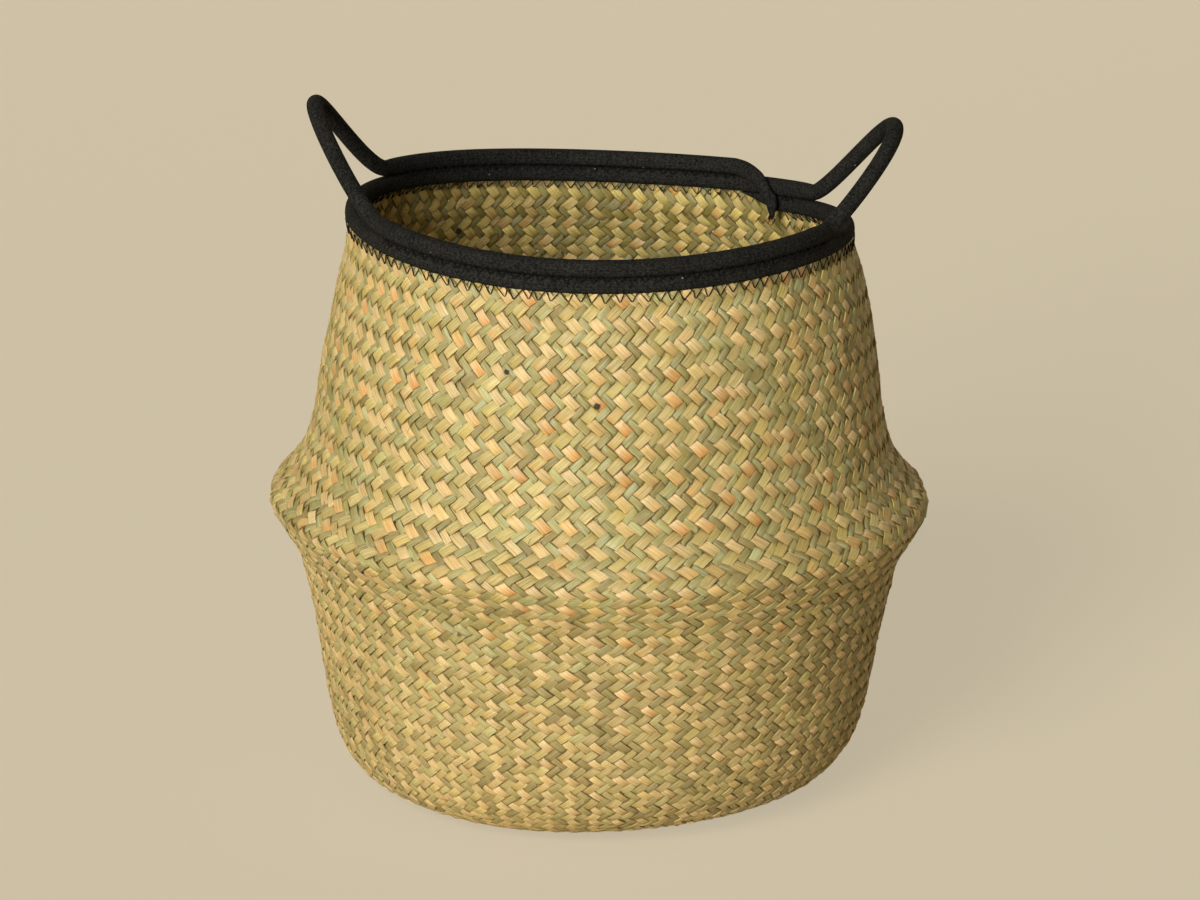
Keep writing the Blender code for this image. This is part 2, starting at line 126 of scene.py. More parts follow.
class Numbers:
    """Plain numbers and arrays with the same operations as a node graph."""

    cos = staticmethod(np.cos)
    sin = staticmethod(np.sin)
    modulo = staticmethod(np.mod)
    least = staticmethod(np.minimum)
    most = staticmethod(np.maximum)

    @staticmethod
    def below(value: Any, limit: float) -> Any:
        """1 where the value is below the limit, else 0."""
        return np.less(value, limit) * 1.0

    @staticmethod
    def ease(value: Any, low: float, high: float) -> Any:
        """Smooth step from 0 at low to 1 at high."""
        share = np.clip((value - low) / (high - low), 0.0, 1.0)
        return share * share * (3.0 - 2.0 * share)


class Graph:
    """Adds nodes to a tree and links them."""

    def __init__(self, tree: bpy.types.NodeTree) -> None:
        """Work on a tree."""
        self.tree = tree

    def node(self, kind: str, **settings: Any) -> bpy.types.Node:
        """Add a node.

        Args:
            kind: The node's type name.
            settings: Its properties.

        Returns:
            The new node.
        """
        node = self.tree.nodes.new(kind)
        for name, value in settings.items():
            setattr(node, name, value)
        return node

    def feed(self, socket: bpy.types.NodeSocket, value: Value) -> None:
        """Link a field to a socket, or set a plain value on it."""
        if isinstance(value, Field):
            self.tree.links.new(value.socket, socket)
        elif value is not None:
            socket.default_value = value

    def call(self, kind: str, feeds: dict[str, Value], out: str, **settings: Any) -> Field:
        """Add a node, feed its sockets by identifier and take one output.

        Args:
            kind: The node's type name.
            feeds: Socket identifiers and what goes into them.
            out: Identifier of the output.
            settings: The node's properties.

        Returns:
            The output as a field.
        """
        node = self.node(kind, **settings)
        by_identifier = {socket.identifier: socket for socket in node.inputs}
        for identifier, value in feeds.items():
            self.feed(by_identifier[identifier], value)
        return Field(self, next(s for s in node.outputs if s.identifier == out))

    def math(self, operation: str, *values: Value) -> Field:
        """One step of arithmetic on up to three values."""
        node = self.node("ShaderNodeMath", operation=operation)
        for socket, value in zip(node.inputs, values):
            self.feed(socket, value)
        return Field(self, node.outputs[0])

    def cos(self, value: Value) -> Field:
        """Cosine."""
        return self.math("COSINE", value)

    def sin(self, value: Value) -> Field:
        """Sine."""
        return self.math("SINE", value)

    def modulo(self, value: Value, period: float) -> Field:
        """Remainder that is never negative."""
        return self.math("FLOORED_MODULO", value, period)

    def swing(self, value: Value) -> Field:
        """Value that runs from 0 to 1 and back."""
        return self.math("PINGPONG", value, 1.0)

    def least(self, first: Value, second: Value) -> Field:
        """The smaller of two values."""
        return self.math("MINIMUM", first, second)

    def most(self, first: Value, second: Value) -> Field:
        """The larger of two values."""
        return self.math("MAXIMUM", first, second)

    def below(self, value: Value, limit: Value) -> Field:
        """1 where the value is below the limit, else 0."""
        return self.math("LESS_THAN", value, limit)

    def ease(self, value: Value, low: Value, high: Value) -> Field:
        """Smooth step from 0 at low to 1 at high."""
        feeds = {"Value": value, "From Min": low, "From Max": high}
        return self.call("ShaderNodeMapRange", feeds, "Result", interpolation_type="SMOOTHSTEP")

    def position(self) -> tuple[Field, Field, Field]:
        """Where a point of the geometry is."""
        return self.parts(self.call("GeometryNodeInputPosition", {}, "Position"))

    def place(self) -> Field:
        """Where a shaded point is on its piece."""
        return self.call("ShaderNodeTexCoord", {}, "Object")

    def reach(self, x: Field, y: Field) -> Field:
        """Distance of a place from the middle."""
        return self.math("SQRT", x * x + y * y)

    def bearing(self, x: Field, y: Field) -> Field:
        """Angle of a place round the middle."""
        return self.math("ARCTAN2", y, x)

    def named(self, name: str) -> Field:
        """A number stored on the geometry."""
        return self.call("GeometryNodeInputNamedAttribute", {"Name": name}, "Attribute")

    def vector(self, x: Value, y: Value, z: Value) -> Field:
        """Join three values into a vector."""
        return self.call("ShaderNodeCombineXYZ", {"X": x, "Y": y, "Z": z}, "Vector")

    def parts(self, vector: Value) -> tuple[Field, Field, Field]:
        """Split a vector into its three values."""
        node = self.node("ShaderNodeSeparateXYZ")
        self.feed(node.inputs[0], vector)
        return tuple(Field(self, socket) for socket in node.outputs)

    def noise(self, vector: Value, scale: Value, detail: float = 2.0, roughness: float = 0.5) -> Field:
        """Smooth noise round 0.5 at a vector."""
        feeds = {"Vector": vector, "Scale": scale, "Detail": detail, "Roughness": roughness}
        return self.call("ShaderNodeTexNoise", feeds, "Fac")

    def chance(self, vector: Value) -> Field:
        """Random value from 0 to 1 that changes at once from one vector to the next."""
        return self.call("ShaderNodeTexWhiteNoise", {"Vector": vector}, "Value")

    def blend(self, share: Value, first: Value, second: Value) -> Field:
        """Mix two colours."""
        feeds = {"Factor_Float": share, "A_Color": first, "B_Color": second}
        return self.call("ShaderNodeMix", feeds, "Result_Color", data_type="RGBA")

    def scaled(self, vector: Value, share: Value) -> Field:
        """A vector or colour times a number."""
        feeds = {"Vector": vector, "Scale": share}
        return self.call("ShaderNodeVectorMath", feeds, "Vector", operation="SCALE")

    def ramp(self, value: Value, stops: Sequence[tuple[float, Colour]]) -> Field:
        """Colour along a ramp of (share, colour) stops."""
        node = self.node("ShaderNodeValToRGB")
        self.feed(node.inputs[0], value)
        elements = node.color_ramp.elements
        while len(elements) < len(stops):
            elements.new(1.0)
        for element, (share, colour) in zip(elements, stops):
            element.position = share
            element.color = colour
        return Field(self, node.outputs[0])


@dataclass(frozen=True)
class Port:
    """One named input or output of a node group."""

    name: str
    kind: str
    default: Any = None


class Group:
    """A node group with named inputs and outputs."""

    def __init__(self, name: str, tree_kind: str, inputs: Sequence[Port], outputs: Sequence[Port]) -> None:
        """Make the tree and its sockets.

        Args:
            name: The group's name.
            tree_kind: Geometry or shader tree.
            inputs: Its inputs.
            outputs: Its outputs.
        """
        self.tree = bpy.data.node_groups.new(name, tree_kind)
        for ports, way in ((inputs, "INPUT"), (outputs, "OUTPUT")):
            for port in ports:
                socket = self.tree.interface.new_socket(port.name, in_out=way, socket_type=port.kind)
                if port.default is not None:
                    socket.default_value = port.default
        self.graph = Graph(self.tree)
        self._entry = self.graph.node("NodeGroupInput")
        self._exit = self.graph.node("NodeGroupOutput")

    def take(self, name: str) -> Field:
        """One of the group's inputs, as a field."""
        return Field(self.graph, self._entry.outputs[name])

    def give(self, name: str, value: Field) -> None:
        """Send a field to one of the group's outputs."""
        self.graph.feed(self._exit.inputs[name], value)


# Shapes


def link(mesh: bpy.types.Mesh, name: str) -> bpy.types.Object:
    """Make an object of a mesh and put it in the scene."""
    mesh.name = name
    piece = bpy.data.objects.new(name, mesh)
    bpy.context.scene.collection.objects.link(piece)
    return piece


def grow(mesh: bpy.types.Mesh, tree: bpy.types.NodeTree, name: str, **values: Any) -> bpy.types.Object:
    """Run a Geometry Nodes tree on a mesh and keep the result as a plain mesh.

    Args:
        mesh: What the tree starts from.
        tree: The tree.
        name: Name of the piece.
        values: The tree's named inputs, with underscores for spaces.

    Returns:
        The finished piece, at the origin and without modifiers.
    """
    piece = link(mesh, name)
    modifier = piece.modifiers.new("shape", "NODES")
    modifier.node_group = tree
    for item in tree.interface.items_tree:
        key = item.name.lower().replace(" ", "_")
        if item.in_out == "INPUT" and key in values:
            modifier[item.identifier] = values[key]
    depsgraph = bpy.context.evaluated_depsgraph_get()
    evaluated = piece.evaluated_get(depsgraph)
    result = bpy.data.meshes.new_from_object(evaluated, preserve_all_data_layers=True, depsgraph=depsgraph)
    piece.modifiers.clear()
    piece.data = result
    result.name = name
    LOG.info("%s: %d faces", name, len(result.polygons))
    return piece


def smooth_step(share: float) -> float:
    """Ease from 0 to 1 with level ends."""
    share = min(max(share, 0.0), 1.0)
    return share * share * (3.0 - 2.0 * share)


def polar(radius: float, angle: float, height: float) -> Vector:
    """Point at a radius and angle round the basket's axis."""
    return Vector((radius * math.cos(angle), radius * math.sin(angle), height))


def ring_faces(rings: int, sides: int) -> list[tuple[int, ...]]:
    """Faces between rings of points, ring after ring."""
    faces = []
    for ring in range(rings - 1):
        low, high = ring * sides, (ring + 1) * sides
        for corner in range(sides):
            following = (corner + 1) % sides
            faces.append((low + corner, low + following, high + following, high + corner))
    return faces


def end_faces(rings: int, sides: int) -> list[tuple[int, ...]]:
    """Faces that close the first and the last ring."""
    return [tuple(range(sides)), tuple(range((rings - 1) * sides, rings * sides))]


@dataclass(frozen=True)
class Rim:
    """Where the woven edge and the rounds of cord lie: a spiral on a gently waved ring."""

    edge_height: float = 0.2696
    tilt_side: float = -0.0025
    tilt_back: float = -0.0050
    saddle: float = 0.0035
    saddle_turned: float = -0.0016
    junction: float = math.radians(42)
    ramp: float = math.radians(12)
    sewn_width: float = 0.0084
    sewn_height: float = 0.0077
    cord_diameter: float = 0.0080
    gap: float = 0.0003
    ring_radius: float = 0.1182

    @property
    def pitch(self) -> float:
        """Rise of the spiral in one turn."""
        return self.sewn_height + self.gap

    def wave(self, angle: Value, ops: Any = Numbers) -> Value:
        """Height of the waved edge without its spiral, for numbers or node fields."""
        level = self.edge_height + self.tilt_side * ops.cos(angle) + self.tilt_back * ops.sin(angle)
        return level + self.saddle * ops.cos(angle * 2.0) + self.saddle_turned * ops.sin(angle * 2.0)

    def edge(self, angle: Value, ops: Any = Numbers) -> Value:
        """Top of the weave, which climbs clockwise and steps down over the ramp at the junction."""
        turn = ops.modulo(self.junction - angle, math.tau) / math.tau
        past = ops.modulo(angle - self.junction + math.pi, math.tau) - math.pi
        ramp = ops.most(ops.below(past, 0.0), ops.least(past / self.ramp, 1.0))
        return self.wave(angle, ops) + turn * ramp * self.pitch

    def level(self, angle: float, turn: int) -> float:
        """Turns of the spiral done at an angle that falls clockwise from the junction."""
        return turn + (self.junction - angle) / math.tau

    def underside(self, angle: float, turn: int) -> float:
        """Height under a sewn round."""
        return float(self.wave(angle)) + self.pitch * self.level(angle, turn) + self.gap

    def centre(self, angle: float, turn: int) -> float:
        """Height of the middle of a sewn round."""
        return self.underside(angle, turn) + self.sewn_height / 2.0

    def foot(self, angle: float) -> Vector:
        """Middle of the cord where a handle leaves the upper round."""
        return polar(self.ring_radius, angle, self.underside(angle, 1) + self.cord_diameter / 2.0)


class Lean(Enum):
    """Which way a strip leans as it climbs, seen from outside."""

    RIGHT = 1
    LEFT = -1


class Stalk(Enum):
    """The two kinds of stalk, which take turns in each direction: broad straw and narrow sage."""

    STRAW = 0
    SAGE = 1


@dataclass(frozen=True)
class Corner:
    """One corner of a strip's section, all along the strip."""

    across: float
    radius: np.ndarray
    height: np.ndarray
    angle: np.ndarray
    out: np.ndarray
    up: np.ndarray


def stored(graph: Graph, geometry: Field, name: str, value: Value, domain: str) -> Field:
    """Store a named value on geometry."""
    feeds = {"Geometry": geometry, "Name": name, "Value": value}
    return graph.call("GeometryNodeStoreNamedAttribute", feeds, "Geometry", domain=domain)


def moved(graph: Graph, geometry: Field, angle: Field, radius: Field, height: Field) -> Field:
    """Move the points of geometry to an angle, a radius and a height round the basket's axis."""
    place = graph.vector(radius * graph.cos(angle), radius * graph.sin(angle), height)
    return graph.call("GeometryNodeSetPosition", {"Geometry": geometry, "Position": place}, "Geometry")


def spin(graph: Graph, angle: Field) -> Field:
    """Rotation about the upright axis."""
    feeds = {"Axis": tuple(UP), "Angle": angle}
    return graph.call("FunctionNodeAxisAngleToRotation", feeds, "Rotation")


def drawn(graph: Graph, low: float, high: float, seed: Value, **feeds: Value) -> Field:
    """Random number between two limits, one for each item unless an ID is fed."""
    feeds |= {"Min_001": low, "Max_001": high, "Seed": seed}
    return graph.call("FunctionNodeRandomValue", feeds, "Value_001", data_type="FLOAT")


def placed(graph: Graph, points: Field, instance: Field, strip: Field, **feeds: Value) -> Field:
    """Put an instance on every point, as real geometry that knows its strip's number."""
    feeds |= {"Points": points, "Instance": instance}
    instances = graph.call("GeometryNodeInstanceOnPoints", feeds, "Instances")
    numbered = stored(graph, instances, "strip", strip, "INSTANCE")
    return graph.call("GeometryNodeRealizeInstances", {"Geometry": numbered}, "Geometry")


def without(graph: Graph, geometry: Field, outside: Field) -> Field:
    """Geometry without the points where a field is 1."""
    feeds = {"Geometry": geometry, "Selection": outside}
    return graph.call("GeometryNodeDeleteGeometry", feeds, "Geometry", domain="POINT")


def tube(graph: Graph, line: Field, sides: Value, radius: Field, scale: Value = None) -> Field:
    """Closed tube round a line."""
    circle = graph.call("GeometryNodeCurvePrimitiveCircle", {"Resolution": sides, "Radius": radius}, "Curve")
    feeds = {"Curve": line, "Profile Curve": circle, "Scale": scale, "Fill Caps": True}
    return graph.call("GeometryNodeCurveToMesh", feeds, "Mesh")


def dressed(graph: Graph, geometry: Field, material: Field) -> Field:
    """End of each tree: the geometry with its material."""
    return graph.call("GeometryNodeSetMaterial", {"Geometry": geometry, "Material": material}, "Geometry")


def ribbon(corners: Sequence[Corner], along: np.ndarray, row: np.ndarray, lean: Lean) -> bpy.types.Mesh:
    """Closed strip through the corners of its section.

    Args:
        corners: The section's corners, in order round it.
        along: Length along the strip at each section.
        row: Crossing number at each section.
        lean: Which family the strip belongs to.

    Returns:
        The strip with its texture map and its places stored on it.
    """
    sections, sides = len(along), len(corners)
    faces = end_faces(sections, sides) + ring_faces(sections, sides)
    points = np.stack(
        [
            np.column_stack((c.radius * np.cos(c.angle), c.radius * np.sin(c.angle), c.height))
            for c in corners
        ],
        axis=1,
    )
    mesh = bpy.data.meshes.new("strip")
    mesh.from_pydata([tuple(point) for point in points.reshape(-1, 3)], [], faces)
    stored_values = {
        "across": np.tile([c.across for c in corners], sections),
        "row": np.repeat(row, sides),
        "warm": np.full(sections * sides, float(lean is Lean.LEFT)),
        "out": np.stack([c.out for c in corners], axis=1).ravel(),
        "up": np.stack([c.up for c in corners], axis=1).ravel(),
    }
    for name, values in stored_values.items():
        mesh.attributes.new(name, "FLOAT", "POINT").data.foreach_set("value", values.astype(np.float32))
    shape = bmesh.new()
    shape.from_mesh(mesh)
    bmesh.ops.recalc_face_normals(shape, faces=shape.faces)
    uv_layer = shape.loops.layers.uv.new("strip_uv")
    for face in shape.faces:
        face.smooth = True
        for loop in face.loops:
            section, corner = divmod(loop.vert.index, sides)
            loop[uv_layer].uv = (float(along[section]), (corners[corner].across + 1.0) / 2.0)
    for edge in shape.edges:
        edge.smooth = (edge.verts[0].index - edge.verts[1].index) % sides != 0
    shape.to_mesh(mesh)
    shape.free()
    return mesh


@dataclass
class WovenBody:
    """The woven seagrass body: two families of strips in a two-over, two-under weave, and its flat base.

    Zones are the heights or shares over which a change sets in. Bumps are a noise scale and a depth.
    Wanders are a seed's offset and a pace per crossing.
    """

    rim: Rim
    base_radius: float = 0.0915
    belly_radius: float = 0.160
    belly_height: float = 0.1430
    fold_foot_radius: float = 0.1472
    fold_drop: float = 0.0250
    fold_head_radius: float = 0.1430
    fold_rise: float = 0.0250
    edge_radius: float = 0.1212
    spare_height: float = 0.0135
    skin_inset: float = 0.0010
    strips: int = 140
    relief: float = 0.00078
    half_thickness: float = 0.00044
    fill_share: float = 0.995
    straw_breadth: float = 0.20
    base_strip: float = 0.0044
    base_overlap: float = 0.0034
    base_mid_height: float = 0.0014
    steps_per_crossing: int = 3
    spared_step: int = 8
    curve_steps: int = 12
    blend_low: float = 0.100
    blend_high: float = 0.186
    belly_tilt: float = 0.0025
    foot_shift: float = 0.0015
    sole_lift: float = 0.0019
    lifted_way: float = math.radians(38)
    tuck: float = 0.0020
    floor_gap: float = 0.0001
    foot_zone: tuple = (0.040, 0.105)
    sole_zone: tuple = (0.004, 0.060)
    belly_zones: tuple = (0.055, 0.235)
    tuck_zones: tuple = (0.205, 0.245, 0.258, 0.270)
    left_zone: tuple = (0.2, 1.0)
    raised_zone: tuple = (0.10, 1.0)
    still_height: float = 0.022
    flat_radius: float = 0.030
    low_breadth: float = 0.30
    broadening: tuple = (0.085, 0.150)
    wanders: tuple = ((0.0, 0.16), (3.0, 0.55), (7.0, 0.21), (13.0, 0.30), (17.0, 0.45))
    wander_spread: float = 7.3
    broad_bumps: tuple = (9.0, 0.0048)
    fine_bumps: tuple = (50.0, 0.0022)
    lower_shares: tuple = (
        (0.0100, 0.100), (0.0390, 0.287), (0.089, 0.476), (0.191, 0.627),
        (0.364, 0.730), (0.610, 0.815), (0.856, 0.918),
    )
    under_shares: tuple = ((0.520, 0.590),)
    over_shares: tuple = ((0.480, 0.560),)
    upper_shares: tuple = ((0.160, 0.215), (0.440, 0.425), (0.680, 0.600), (0.860, 0.800))
    crossing_heights: tuple = (0.0, 0.100, 0.143, 0.170, 0.280)
    crossing_rises: tuple = (0.00228, 0.00240, 0.00266, 0.00288, 0.00293)
    over_profile: tuple = (0.95, 1.02, 1.02, 0.95, 0.55, -0.55, -0.95, -1.02, -1.02, -0.95, -0.55, 0.55)
    section: tuple = ((-1.0, -1.0), (-0.94, 1.0), (0.94, 1.0), (1.0, -1.0))
    meridian: np.ndarray = field(init=False)
    rows: np.ndarray = field(init=False)

    def __post_init__(self) -> None:
        """Work out the outline and how many crossings lie below each point of it."""
        self.meridian = self._outline()
        steps = np.diff(self.meridian, axis=0)
        lengths = np.hypot(steps[:, 0], steps[:, 1])
        middles = (self.meridian[1:, 1] + self.meridian[:-1, 1]) / 2.0
        rises = np.interp(middles, self.crossing_heights, self.crossing_rises)
        self.rows = np.concatenate(([0.0], np.cumsum(lengths / rises)))

    @staticmethod
    def _between(start: Sequence[float], end: Sequence[float], shares: Sequence) -> list:
        """Points between two others from (height share, radius share)."""
        return [
            (start[0] + (end[0] - start[0]) * across, start[1] + (end[1] - start[1]) * up)
            for up, across in shares
        ]

    def _outline(self) -> np.ndarray:
        """Outer outline of the body from its base to above its edge.

        Returns:
            Dense (radius, height) points.
        """
        base = (self.base_radius, 0.0)
        foot = (self.fold_foot_radius, self.belly_height - self.fold_drop)
        belly = (self.belly_radius, self.belly_height)
        head = (self.fold_head_radius, self.belly_height + self.fold_rise)
        edge = (self.edge_radius, self.rim.edge_height)
        top = (self.edge_radius, self.rim.edge_height + self.spare_height)
        stations = np.array([
            base, *self._between(base, foot, self.lower_shares),
            foot, *self._between(foot, belly, self.under_shares),
            belly, *self._between(belly, head, self.over_shares),
            head, *self._between(head, edge, self.upper_shares), edge, top,
        ])
        ends = np.vstack((2 * stations[0] - stations[1], stations, 2 * stations[-1] - stations[-2]))
        share = np.linspace(0.0, 1.0, self.curve_steps, endpoint=False)[:, None]
        curve = []
        for before, start, end, after in zip(ends[:-3], ends[1:-2], ends[2:-1], ends[3:]):
            curve.append(
                start
                + (end - before) * share / 2.0
                + (before * 2.0 - start * 5.0 + end * 4.0 - after) * share ** 2 / 2.0
                + (start * 3.0 - before - end * 3.0 + after) * share ** 3 / 2.0
            )
        return np.vstack((*curve, stations[-1]))

    def along_outline(self, row: np.ndarray) -> tuple[np.ndarray, ...]:
        """Radius and height of the weave's middle, and the way out of it, at crossing numbers."""
        ways = np.gradient(self.meridian, axis=0)
        ways /= np.linalg.norm(ways, axis=1)[:, None]
        out = np.interp(row, self.rows, ways[:, 1])
        up = -np.interp(row, self.rows, ways[:, 0])
        radius = np.interp(row, self.rows, self.meridian[:, 0]) - out * self.skin_inset
        height = np.interp(row, self.rows, self.meridian[:, 1]) - up * self.skin_inset
        return radius, height, out, up

    def breadth(self, height: Value, ops: Any = Numbers) -> Value:
        """How much broader a straw strip is than the mean, and a sage strip narrower, at a height."""
        share = self.low_breadth + (1.0 - self.low_breadth) * ops.ease(height, *self.broadening)
        return self.straw_breadth * share

    def strip_mesh(self, lean: Lean, stalk: Stalk) -> bpy.types.Mesh:
        """One strip from the base to above the edge, with its over and under bends.

        Args:
            lean: Which way it leans.
            stalk: Which kind it is, which settles where the broad strips cross it.

        Returns:
            A closed strip with its places and its ways out stored on it.
        """
        last_row = math.floor(self.rows[-1])
        phase = np.arange(last_row * self.steps_per_crossing + 1)
        shift = 2 * self.steps_per_crossing if lean is Lean.LEFT else 0
        phase = phase[(phase + shift) % len(self.over_profile) != self.spared_step]
        nominal = phase / self.steps_per_crossing
        straw_below = (phase // self.steps_per_crossing + stalk.value) % 2 == 0
        between = phase % self.steps_per_crossing != 0
        breadth = self.breadth(np.interp(nominal, self.rows, self.meridian[:, 1]))
        row = nominal + between * np.where(straw_below, 0.5, -0.5) * breadth
        over = np.array(self.over_profile)[(phase + shift) % len(self.over_profile)] * self.relief
        corners = []
        for across, face in self.section:
            offset = across * self.fill_share / 2.0
            radius, height, out, up = self.along_outline(row - lean.value * offset)
            lift = over + face * self.half_thickness
            angle = (lean.value * row + offset) / 2.0 * math.tau / self.strips
            corners.append(Corner(across, radius + out * lift, height + up * lift, angle, out, up))
        radius, height, _, _ = self.along_outline(row)
        step = np.hypot(np.diff(radius), np.diff(height))
        turn = radius[1:] * math.pi / self.strips * np.diff(nominal)
        along = np.concatenate(([0.0], np.cumsum(np.hypot(step, turn))))
        return ribbon(corners, along, nominal + shift / self.steps_per_crossing, lean)

    def base_strip_mesh(self, lean: Lean) -> bpy.types.Mesh:
        """One straight strip of the flat base, long enough to cross it."""
        half = 2 * math.ceil(self.base_radius / self.base_strip / 2.0) + 4
        row = np.linspace(-half, half, 2 * half * self.steps_per_crossing + 1)
        phase = np.round(row * self.steps_per_crossing).astype(int)
        if lean is Lean.LEFT:
            phase = phase + self.steps_per_crossing
        over = np.array(self.over_profile)[phase % len(self.over_profile)] * self.relief
        corners = []
        for across, face in self.section:
            side = np.full_like(row, across * self.fill_share * self.base_strip / 2.0)
            lift = self.base_mid_height - lean.value * over + face * self.half_thickness
            run = row * self.base_strip
            x, y = (run, side) if lean is Lean.RIGHT else (side, run)
            flat = np.zeros_like(row)
            corners.append(Corner(across, np.hypot(x, y), lift, np.arctan2(y, x), flat, flat + 1.0))
        return ribbon(corners, row * self.base_strip, row, lean)

    def build(self, finish: "Seagrass") -> list[bpy.types.Object]:
        """Weave the body and hang its base on the lower body.

        Args:
            finish: The strips' finish.

        Returns:
            The woven pieces.
        """
        loom, mat_tree = self._loom(), self._mat()
        pieces = []
        for lean in Lean:
            for stalk in Stalk:
                piece = grow(
                    self.strip_mesh(lean, stalk),
                    loom,
                    f"{stalk.name.lower()}_strips_{lean.name.lower()}",
                    stalk=stalk.value,
                    seed=11 + lean.value,
                    material=finish.material,
                )
                self.hang(piece)
                pieces.append(piece)
            piece = grow(
                self.base_strip_mesh(lean),
                mat_tree,
                f"base_strips_{lean.name.lower()}",
                along_y=lean is Lean.RIGHT,
                material=finish.material,
            )
            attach(piece, LOWER_BODY)
            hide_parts("woven_base")
            pieces.append(piece)
        pieces.append(Slivers(self).build(finish))
        return pieces

    def hang(self, piece: bpy.types.Object) -> None:
        """Bake a woven piece's place into its mesh and hide the imported walls that it stands for."""
        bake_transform(piece)
        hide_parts("lower_wall", "belly_fold", "upper_wall")

    def settled(self, graph: Graph, angle: Field, radius: Field, height: Field) -> tuple[Field, Field]:
        """How the hand-woven body departs from a turned shape.

        Args:
            graph: The tree's graph.
            angle: Angle round the basket.
            radius: Radius of the turned shape.
            height: Height of the turned shape.

        Returns:
            The settled radius and height.
        """
        rim = self.rim
        head = self.belly_height + self.fold_rise
        top = graph.ease(height, head, rim.edge_height)
        lifted = height + (rim.wave(angle, graph) - rim.edge_height) * top
        belly_start, belly_end = self.belly_zones
        near_belly = graph.ease(height, belly_start, self.belly_height) * (
            1.0 - graph.ease(height, head, belly_end)
        )
        lifted = lifted - graph.cos(angle) * near_belly * self.belly_tilt
        foot = 1.0 - graph.ease(height, *self.foot_zone)
        sole = 1.0 - graph.ease(height, *self.sole_zone)
        tucked = graph.ease(height, *self.tuck_zones[:2]) * (1.0 - graph.ease(height, *self.tuck_zones[2:]))
        left = graph.ease(graph.cos(angle) * -1.0, *self.left_zone)
        raised = graph.ease(graph.cos(angle + self.lifted_way), *self.raised_zone)
        radius = radius - graph.cos(angle) * foot * self.foot_shift - tucked * left * self.tuck
        radius = radius - raised * sole * self.foot_shift
        lifted = lifted + raised * sole * self.sole_lift
        free = graph.ease(height, 0.0, self.still_height) * (1.0 - top)
        place = graph.vector(radius * graph.cos(angle), radius * graph.sin(angle), height)
        broad = (graph.noise(place, self.broad_bumps[0], 1.0) - 0.5) * self.broad_bumps[1]
        fine = (graph.noise(place, self.fine_bumps[0], 2.0) - 0.5) * self.fine_bumps[1]
        return radius + (broad + fine) * free, graph.most(lifted + fine * free, self.floor_gap)

    def _loom(self) -> bpy.types.NodeTree:
        """Geometry Nodes tree that repeats one strip round the basket, settles the weave and trims it."""
        group = Group(
            "strip_loom",
            GEOMETRY_TREE,
            (
                Port("Strip", "NodeSocketGeometry"),
                Port("Strips", "NodeSocketInt", self.strips // 2),
                Port("Stalk", "NodeSocketInt", 0),
                Port("Width Spread", "NodeSocketFloat", 0.17),
                Port("Straw Lift", "NodeSocketFloat", 0.00016),
                Port("Sway", "NodeSocketFloat", 0.17),
                Port("Roll Height", "NodeSocketFloat", 0.00034),
                Port("Bulge", "NodeSocketFloat", 0.00032),
                Port("Trim Margin", "NodeSocketFloat", 0.0042),
                Port("Seed", "NodeSocketInt", 11),
                Port("Material", "NodeSocketMaterial"),
            ),
            (Port("Weave", "NodeSocketGeometry"),),
        )
        graph = group.graph
        strips = group.take("Strips")
        points = graph.call("GeometryNodeMeshLine", {"Count": strips, "Offset": (0.0, 0.0, 0.0)}, "Mesh")
        strip_number = graph.call("GeometryNodeInputIndex", {}, "Index") * 2.0 + group.take("Stalk")
        spacing = math.pi / strips
        turned = spin(graph, strip_number * spacing)
        weave = placed(graph, points, group.take("Strip"), strip_number, Rotation=turned)

        x, y, z = graph.position()
        strip, row, across, out, up = (
            graph.named(name) for name in ("strip", "row", "across", "out", "up")
        )
        seed = group.take("Seed")
        own = drawn(graph, -1.0, 1.0, seed, ID=strip)
        straw = 1.0 - group.take("Stalk") * 2.0
        drift, narrow, sway, roll, bulge = (
            self._wander(graph, strip, row, seed + offset, pace) for offset, pace in self.wanders
        )
        broader = (own * 0.5 + drift + narrow * 0.5) * group.take("Width Spread")
        broader = broader + straw * self.breadth(z, graph)
        widened = (across * broader / 2.0 + sway * group.take("Sway")) * spacing
        outside = graph.cos((row - 0.5) * math.pi / 2.0)
        lift = outside * straw * group.take("Straw Lift") + across * roll * group.take("Roll Height")
        lift = lift + bulge * group.take("Bulge")
        angle = graph.bearing(x, y) + widened
        radius, height = self.settled(graph, angle, graph.reach(x, y) + out * lift, z + up * lift)
        settled = moved(graph, weave, angle, radius, height)
        x, y, z = graph.position()
        limit = self.rim.edge(graph.bearing(x, y), graph) + group.take("Trim Margin")
        trimmed = without(graph, settled, graph.below(limit, z))
        group.give("Weave", dressed(graph, trimmed, group.take("Material")))
        return group.tree

    def _wander(self, graph: Graph, strip: Field, row: Field, seed: Field, pace: float) -> Field:
        """Slow change along each strip, about -1 to 1, at a pace per crossing."""
        place = graph.vector(strip * self.wander_spread, row * pace, seed)
        return graph.noise(place, 1.0, 1.0) * 3.0 - 1.5

